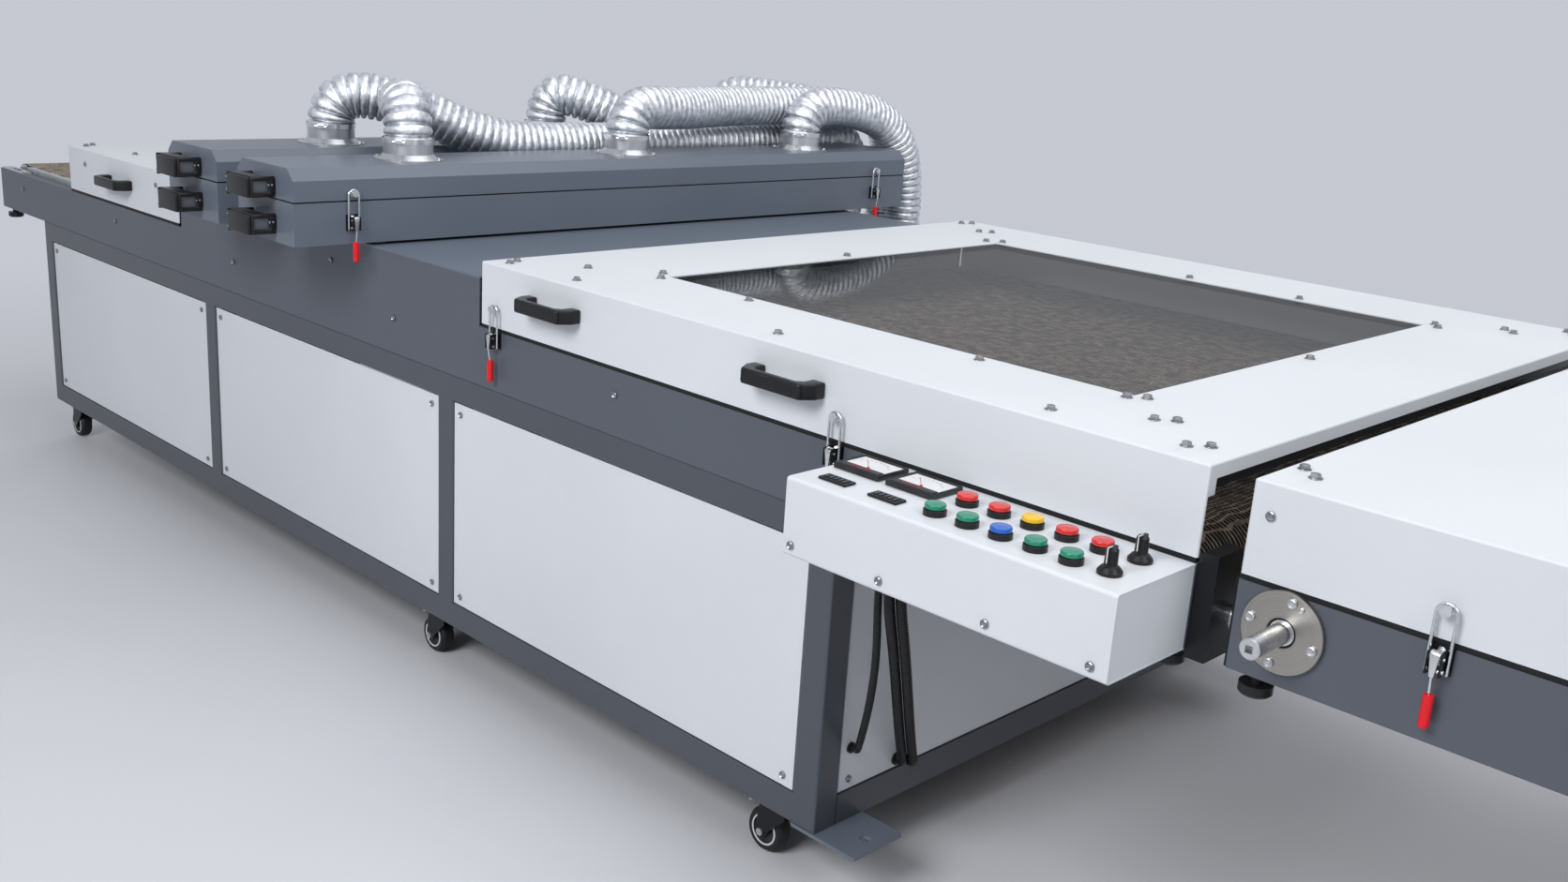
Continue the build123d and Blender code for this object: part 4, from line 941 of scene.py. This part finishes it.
# %% Button caps
cap_colours = {
    "red": (0.62, 0.022, 0.018), "yellow": (0.80, 0.50, 0.01), "green": (0.005, 0.22, 0.125),
    "blue": (0.01, 0.11, 0.50),
}
cap_finishes = {
    name: moulded(name + " cap", colour, 0.22, 300.0, 0.00003, 0.10, coat=0.5)
    for name, colour in cap_colours.items()
}
far_row, far_row_y = ["red", "red", "yellow", "red", "red"], -0.8495
near_row, near_row_y = ["green", "green", "blue", "green", "green"], -0.9135
first_button, button_pitch, box_top = 0.6625, 0.0504, 0.720
cap_master = rod((0, 0, 0.0083), (0, 0, 0.0152), 0.0137, 40)
round_edges(cap_master, 0.0020, 3)
choose(cap_master, "FACE", lambda face: face.normal.z > 0.99)
bpy.ops.mesh.inset(thickness=0.0025)
bpy.ops.transform.translate(value=(0, 0, -0.0005))
bpy.ops.mesh.inset(thickness=0.003)
bpy.ops.transform.translate(value=(0, 0, 0.0009))
leave_edit()
smooth(cap_master)
caps = []
for row, y in ((far_row, far_row_y), (near_row, near_row_y)):
    for n, colour_name in enumerate(row):
        place = turned((first_button + button_pitch * n, y, box_top), 0)
        caps.append(copies_at(cap_master, [place], "cap", cap_finishes[colour_name]))
hand_over(joined(caps, "coloured_button_caps"), "root", "button caps", "button_caps")

# %% [markdown]
# A meter is a dark glossy frame round a white dial with ticks, a red needle and a black strip below. A
# counter is a black block with five ridges. Each is made once, standing on z = 0, and copied to the top of
# the box.

# %% Meters and counters
dial_white = moulded("dial white", (0.74, 0.75, 0.76), 0.18, 900.0, 0.00002, 0.04)
needle_red = moulded("needle red", (0.55, 0.01, 0.01), 0.3, 900.0, 0.00002, 0.05)
frame_glass = moulded("smoked frame", (0.020, 0.020, 0.023), 0.12, 700.0, 0.00002, 0.25)
frame_block = block((-0.040, -0.032, 0.0002), (0.040, 0.032, 0.0085), 0.0020, 3, frame_glass)
choose(frame_block, "FACE", lambda face: face.normal.z > 0.99)
bpy.ops.mesh.inset(thickness=0.0045)
bpy.ops.transform.translate(value=(0, 0, -0.0022))
leave_edit()
dial = block((-0.0340, -0.0130, 0.0062), (0.0340, 0.0265, 0.0069), 0.0002, 1, dial_white)
strip = block((-0.0345, -0.0265, 0.0062), (0.0345, -0.0140, 0.0080), 0.0005, 2, black_plastic)
mark = block((-0.0200, -0.0205, 0.0080), (0.0120, -0.0192, 0.0083), 0, finish=needle_red)
hub = rod((0.004, -0.0105, 0.0065), (0.004, -0.0105, 0.0079), 0.0021, 16, needle_red)
needle = rod((0.004, -0.0105, 0.0074), (-0.020, 0.016, 0.0074), 0.00028, 6, needle_red)
meter_parts = [frame_block, dial, strip, mark, hub, needle]
dial_centre, tick_start = Vector((0, -0.0115, 0.0070)), 0.0290
for n in range(9):
    angle = math.radians(38 + 13 * n)
    way = Vector((math.cos(angle), math.sin(angle), 0))
    start, end = dial_centre + way * tick_start, dial_centre + way * (0.0318 if n % 2 else 0.0335)
    meter_parts.append(rod(start, end, 0.00022, 4, black_plastic))
meter_master = joined(meter_parts, "meter")
counter_parts = [block((-0.024, -0.011, 0.0002), (0.024, 0.011, 0.0040), 0.0012, 2, black_plastic)]
for n in range(5):
    left = -0.018 + 0.0078 * n
    ridge = block((left, -0.007, 0.0038), (left + 0.0052, 0.007, 0.0052), 0.0005, 1, frame_glass)
    counter_parts.append(ridge)
counter_master = joined(counter_parts, "counter")
meter_y, counter_y = -0.8445, -0.9190
meters = copies_at(meter_master, [turned((x, meter_y, box_top), 0) for x in (0.4955, 0.5875)], "meters")
counter_places = [turned((x, counter_y, box_top), 0) for x in (0.5025, 0.5885)]
counters = copies_at(counter_master, counter_places, "counters")
hand_over(joined([meters, counters], "meters_and_counters"), "root", "black plastic", "panel_instruments")

# %% [markdown]
# Each speed knob carries a white pointer line. It rides on the knob's own body, so that it turns with the
# knob.

# %% Pointer marks on the knobs
pointer_white = moulded("pointer white", (0.70, 0.70, 0.70), 0.35)
pointer_master = block((-0.0008, -0.0102, 0.0145), (0.0008, -0.0010, 0.0333), 0.0002, 1, pointer_white)
for side, x, y in (("left", 0.9105, -0.8415), ("right", 0.9115, -0.9065)):
    pointer = copies_at(pointer_master, [turned((x, y, box_top), 0)], side + "_knob_pointer")
    hand_over(pointer, "speed knob " + side, "black plastic")

# %% [markdown]
# ## Handles
# The handles are moulded bridges with soft edges. Their CAD solid already has the right outline, so a copy
# of its mesh is merged, its loose triangles are dissolved back to flat faces, and its edges are beveled.

# %% Handles
for node_name, body in (("main_hood_handles", "main cover"), ("left_hood_handle", "left cover")):
    handle = new_object("soft_" + node_name, nodes[node_name].data.copy())
    choose(handle, "FACE", lambda face: True)
    bpy.ops.mesh.remove_doubles(threshold=0.00002)
    bpy.ops.mesh.dissolve_limited(angle_limit=math.radians(2))
    leave_edit()
    round_edges(handle, 0.0028, 3, 30)
    smooth(handle, 50)
    hand_over(handle, body, "black plastic", node_name)

# %% [markdown]
# ## Latches
# A toggle latch's lever turns on a pin and hooks the bail above it. Its plate is a block, narrowed at the
# foot, whose top is extruded twice to make the hook. A thin rod carries the red sleeve.

# %% Latch levers
lever_plate = block((-0.0056, -0.0200, -0.0720), (0.0056, -0.0170, -0.0460), 0, finish=bright_steel)
choose(lever_plate, "FACE", lambda face: face.normal.z < -0.9)
bpy.ops.transform.resize(value=(0.45, 1, 1))
leave_edit()
choose(lever_plate, "FACE", lambda face: face.normal.z > 0.9)
bpy.ops.mesh.extrude_region_move(TRANSFORM_OT_translate={"value": (0, 0.0045, 0.0025)})
bpy.ops.mesh.extrude_region_move(TRANSFORM_OT_translate={"value": (0, 0.0060, -0.0030)})
leave_edit()
round_edges(lever_plate, 0.0007, 2)
lever_rod = rod((0, -0.0184, -0.0700), (0, -0.0142, -0.0960), 0.0017, 12, bright_steel)
pivot_pin = rod((-0.0098, -0.0140, -0.0655), (0.0098, -0.0140, -0.0655), 0.0024, 14, bright_steel, 0.0005)
hook_pin = rod((-0.0094, -0.0150, -0.0510), (0.0094, -0.0150, -0.0510), 0.0018, 12, bright_steel, 0.0004)
lever_master = joined([lever_plate, lever_rod, pivot_pin, hook_pin], "lever")
smooth(lever_master)
hood_latch_height, lamp_latch_height = 0.762, 0.914
latch_places = [turned((x, near_face, hood_latch_height), 0) for x in (-0.4445, 0.3855, 1.2425, 2.2285)]
lamp_latch_spots = [(x, y) for x in (-1.1765, -0.8655) for y in (-0.8365, 0.6705)]
latch_places += [turned((x, y, lamp_latch_height), 90) for x, y in lamp_latch_spots]
hand_over(copies_at(lever_master, latch_places, "chrome_latch_levers"), "root", "zinc steel", "latch_levers")
local_screws = [facing((0, -0.002, z), toward_operator) @ small for z in (-0.0475, -0.0585)]
places = [latch @ spot for latch in latch_places for spot in local_screws]
hand_over(copies_at(bolt_master, places, "latch_base_screws", bright_steel), "root", "zinc steel")

# %% [markdown]
# ## Lamp connectors
# A lamp's two plugs are cast hoods inside a black locking frame with a window in each cheek. The window is
# an inset on both sides of the cheek, bridged through it.

# %% Lamp connectors
cast_hood = powder_coat("cast connector hood", (0.105, 0.115, 0.135), 0.38)
hood_block = block((-0.0390, -0.0480, -0.0150), (0.0390, -0.0010, 0.0150), 0.0040, 3, cast_hood)
front_plate = block((-0.0440, -0.0555, -0.0205), (0.0400, -0.0445, 0.0175), 0.0030, 3, black_plastic)
top_cover = block((-0.0420, -0.0500, 0.0145), (0.0420, -0.0230, 0.0205), 0.0025, 3, black_plastic)
low_cover = block((-0.0420, -0.0500, -0.0205), (0.0420, -0.0280, -0.0150), 0.0020, 3, black_plastic)
plugs = [hood_block, front_plate, top_cover, low_cover]
for side in (-1, 1):
    inner, outer = sorted((side * 0.0400, side * 0.0455))
    cheek = block((inner, -0.0500, -0.0195), (outer, -0.0015, 0.0195), 0, finish=black_plastic)
    choose(cheek, "FACE", lambda face: abs(face.normal.x) > 0.9)
    bpy.ops.mesh.inset(thickness=0.0085)
    bpy.ops.transform.translate(value=(0, -0.0035, 0))
    bpy.ops.mesh.bridge_edge_loops()
    leave_edit()
    round_edges(cheek, 0.0022, 2)
    plugs.append(cheek)
    for y in (-0.0080, -0.0150):
        start, end = (side * 0.0440, y, 0.0030), (side * 0.0472, y, 0.0030)
        plugs.append(rod(start, end, 0.0021, 12, bright_steel, 0.0006))
for z in (-0.0165, 0.0135):
    low, high = (-0.0475, -0.0540, z - 0.0065), (-0.0430, -0.0400, z + 0.0065)
    plugs.append(block(low, high, 0.0015, 2, black_plastic))
    plugs.append(rod((-0.0400, -0.0550, z * 0.8), (-0.0400, -0.0568, z * 0.8), 0.0017, 10, bright_steel))
connector_master = joined(plugs, "connector")
smooth(connector_master)
housing_front, connector_rows = -0.9565, (0.852, 0.922)
connector_places = [turned((x, housing_front, z), 0) for x in (left_lamp, right_lamp) for z in connector_rows]
connectors = copies_at(connector_master, connector_places, "locking_connectors")
hand_over(connectors, "root", "connector black", "lamp_connectors")
masters = [bolt_master, screw_master, band_master, rim_master, cap_master, meter_master, counter_master,
           pointer_master, lever_master, connector_master]
for master in masters:
    bpy.data.objects.remove(master)

# %% [markdown]
# ## Floor and light
# A wide floor takes the soft shadows, and large lamps light the machine as softboxes do: one high over the
# operator's side, one overhead, one from the outlet end, and two behind, for the edges and for the floor
# under the outlet section.

# %% Floor
def seen_rays(tree):
    """1 for the rays that see the backdrop as it is: straight, mirrored or through glass."""
    ray = add_node(tree, "LightPath").outputs
    either = combined(tree, "MAXIMUM", ray["Is Camera Ray"], ray["Is Glossy Ray"])
    return combined(tree, "MAXIMUM", either, ray["Is Transmission Ray"])


let_go()
bpy.ops.mesh.primitive_circle_add(vertices=64, radius=60, fill_type="NGON", location=(0, 0, 0))
floor = bpy.context.object
floor.name = "studio_floor"
fade_start, fade_end = 1.6, 5.5
distance_colour = (0.560, 0.580, 0.635, 1)
floor_finish, tree, shader = start_finish("studio floor")
cloud = noise(tree, place_pattern(tree), scale=0.6, detail=3)
feed(tree, shader, {
    "Base Color": ramp(tree, cloud, (0.60, 0.61, 0.65), (0.64, 0.65, 0.69)),
    "Roughness": 0.5,
    "Specular IOR Level": 0.25,
})
reach = {"Value": length_of(tree, place_pattern(tree)), "From Min": fade_start, "From Max": fade_end}
fade = add_node(tree, "MapRange", reach, interpolation_type="SMOOTHSTEP").outputs["Result"]
glow = add_node(tree, "Emission", {"Color": distance_colour})
seen = combined(tree, "MULTIPLY", fade, seen_rays(tree))
blend = add_node(tree, "MixShader", {0: seen, 1: shader.outputs[0], 2: glow.outputs[0]})
feed(tree, tree.nodes["Material Output"], {"Surface": blend.outputs[0]})
floor.data.materials.append(floor_finish)
floor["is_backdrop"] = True
print("floor fades from", fade_start, "to", fade_end, "metres")

# %% [markdown]
# The world lights the machine softly from all sides. The rays that see it directly get the colour that the
# floor fades to, so no horizon shows.

# %% World
world = bpy.data.worlds.new("studio")
bpy.context.scene.world = world
world.use_nodes = True
tree = world.node_tree
lit = tree.nodes["Background"]
feed(tree, lit, {"Color": (0.62, 0.63, 0.66, 1), "Strength": 0.45})
shown = add_node(tree, "Background", {"Color": distance_colour})
pick = add_node(tree, "MixShader", {0: seen_rays(tree), 1: lit.outputs[0], 2: shown.outputs[0]})
feed(tree, tree.nodes["World Output"], {"Surface": pick.outputs[0]})
print("world:", world.name)

# %% [markdown]
# The two softboxes behind the machine are hidden from mirror images, where their bright shapes would show.
# The low one has a narrow spread, so that it leaves no bright spot on the floor.

# %% Lamps
def softbox(name, place, target, size, power):
    """A large soft lamp at a place, facing a target."""
    data = bpy.data.lights.new(name, "AREA")
    data.shape = "RECTANGLE"
    data.size = size[0]
    data.size_y = size[1]
    data.energy = power
    lamp = new_object(name, data)
    aim = (Vector(target) - Vector(place)).to_track_quat("-Z", "Y")
    lamp.matrix_world = Matrix.Translation(place) @ aim.to_matrix().to_4x4()
    return lamp


softbox("key softbox", (0.5, -4.5, 3.4), (-0.2, -0.4, 0.5), (2.4, 1.8), 150)
softbox("top softbox", (0.2, 0.4, 4.5), (0.0, 0, 0.5), (5.0, 3.0), 68)
softbox("outlet softbox", (4.4, -1.0, 3.6), (0.3, -0.2, 0.6), (2.5, 2.0), 74)
far_box = softbox("far softbox", (-5.0, 3.0, 3.0), (0, 0, 0.6), (3.0, 2.0), 50)
far_box.visible_glossy = False
low_box = softbox("low softbox", (1.0, 5.6, 2.1), (1.2, 0, 0), (3.0, 1.6), 34)
low_box.data.spread = math.radians(70)
low_box.visible_glossy = False
bpy.context.scene.view_settings.view_transform = "Standard"

# %% [markdown]
# ## The last line
# Dressing must not make the machine bigger, so the dressed machine's size is printed.

# %% Sizes and finish
low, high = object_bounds()
print("visual size:", [round(b - a, 3) for a, b in zip(low, high)])
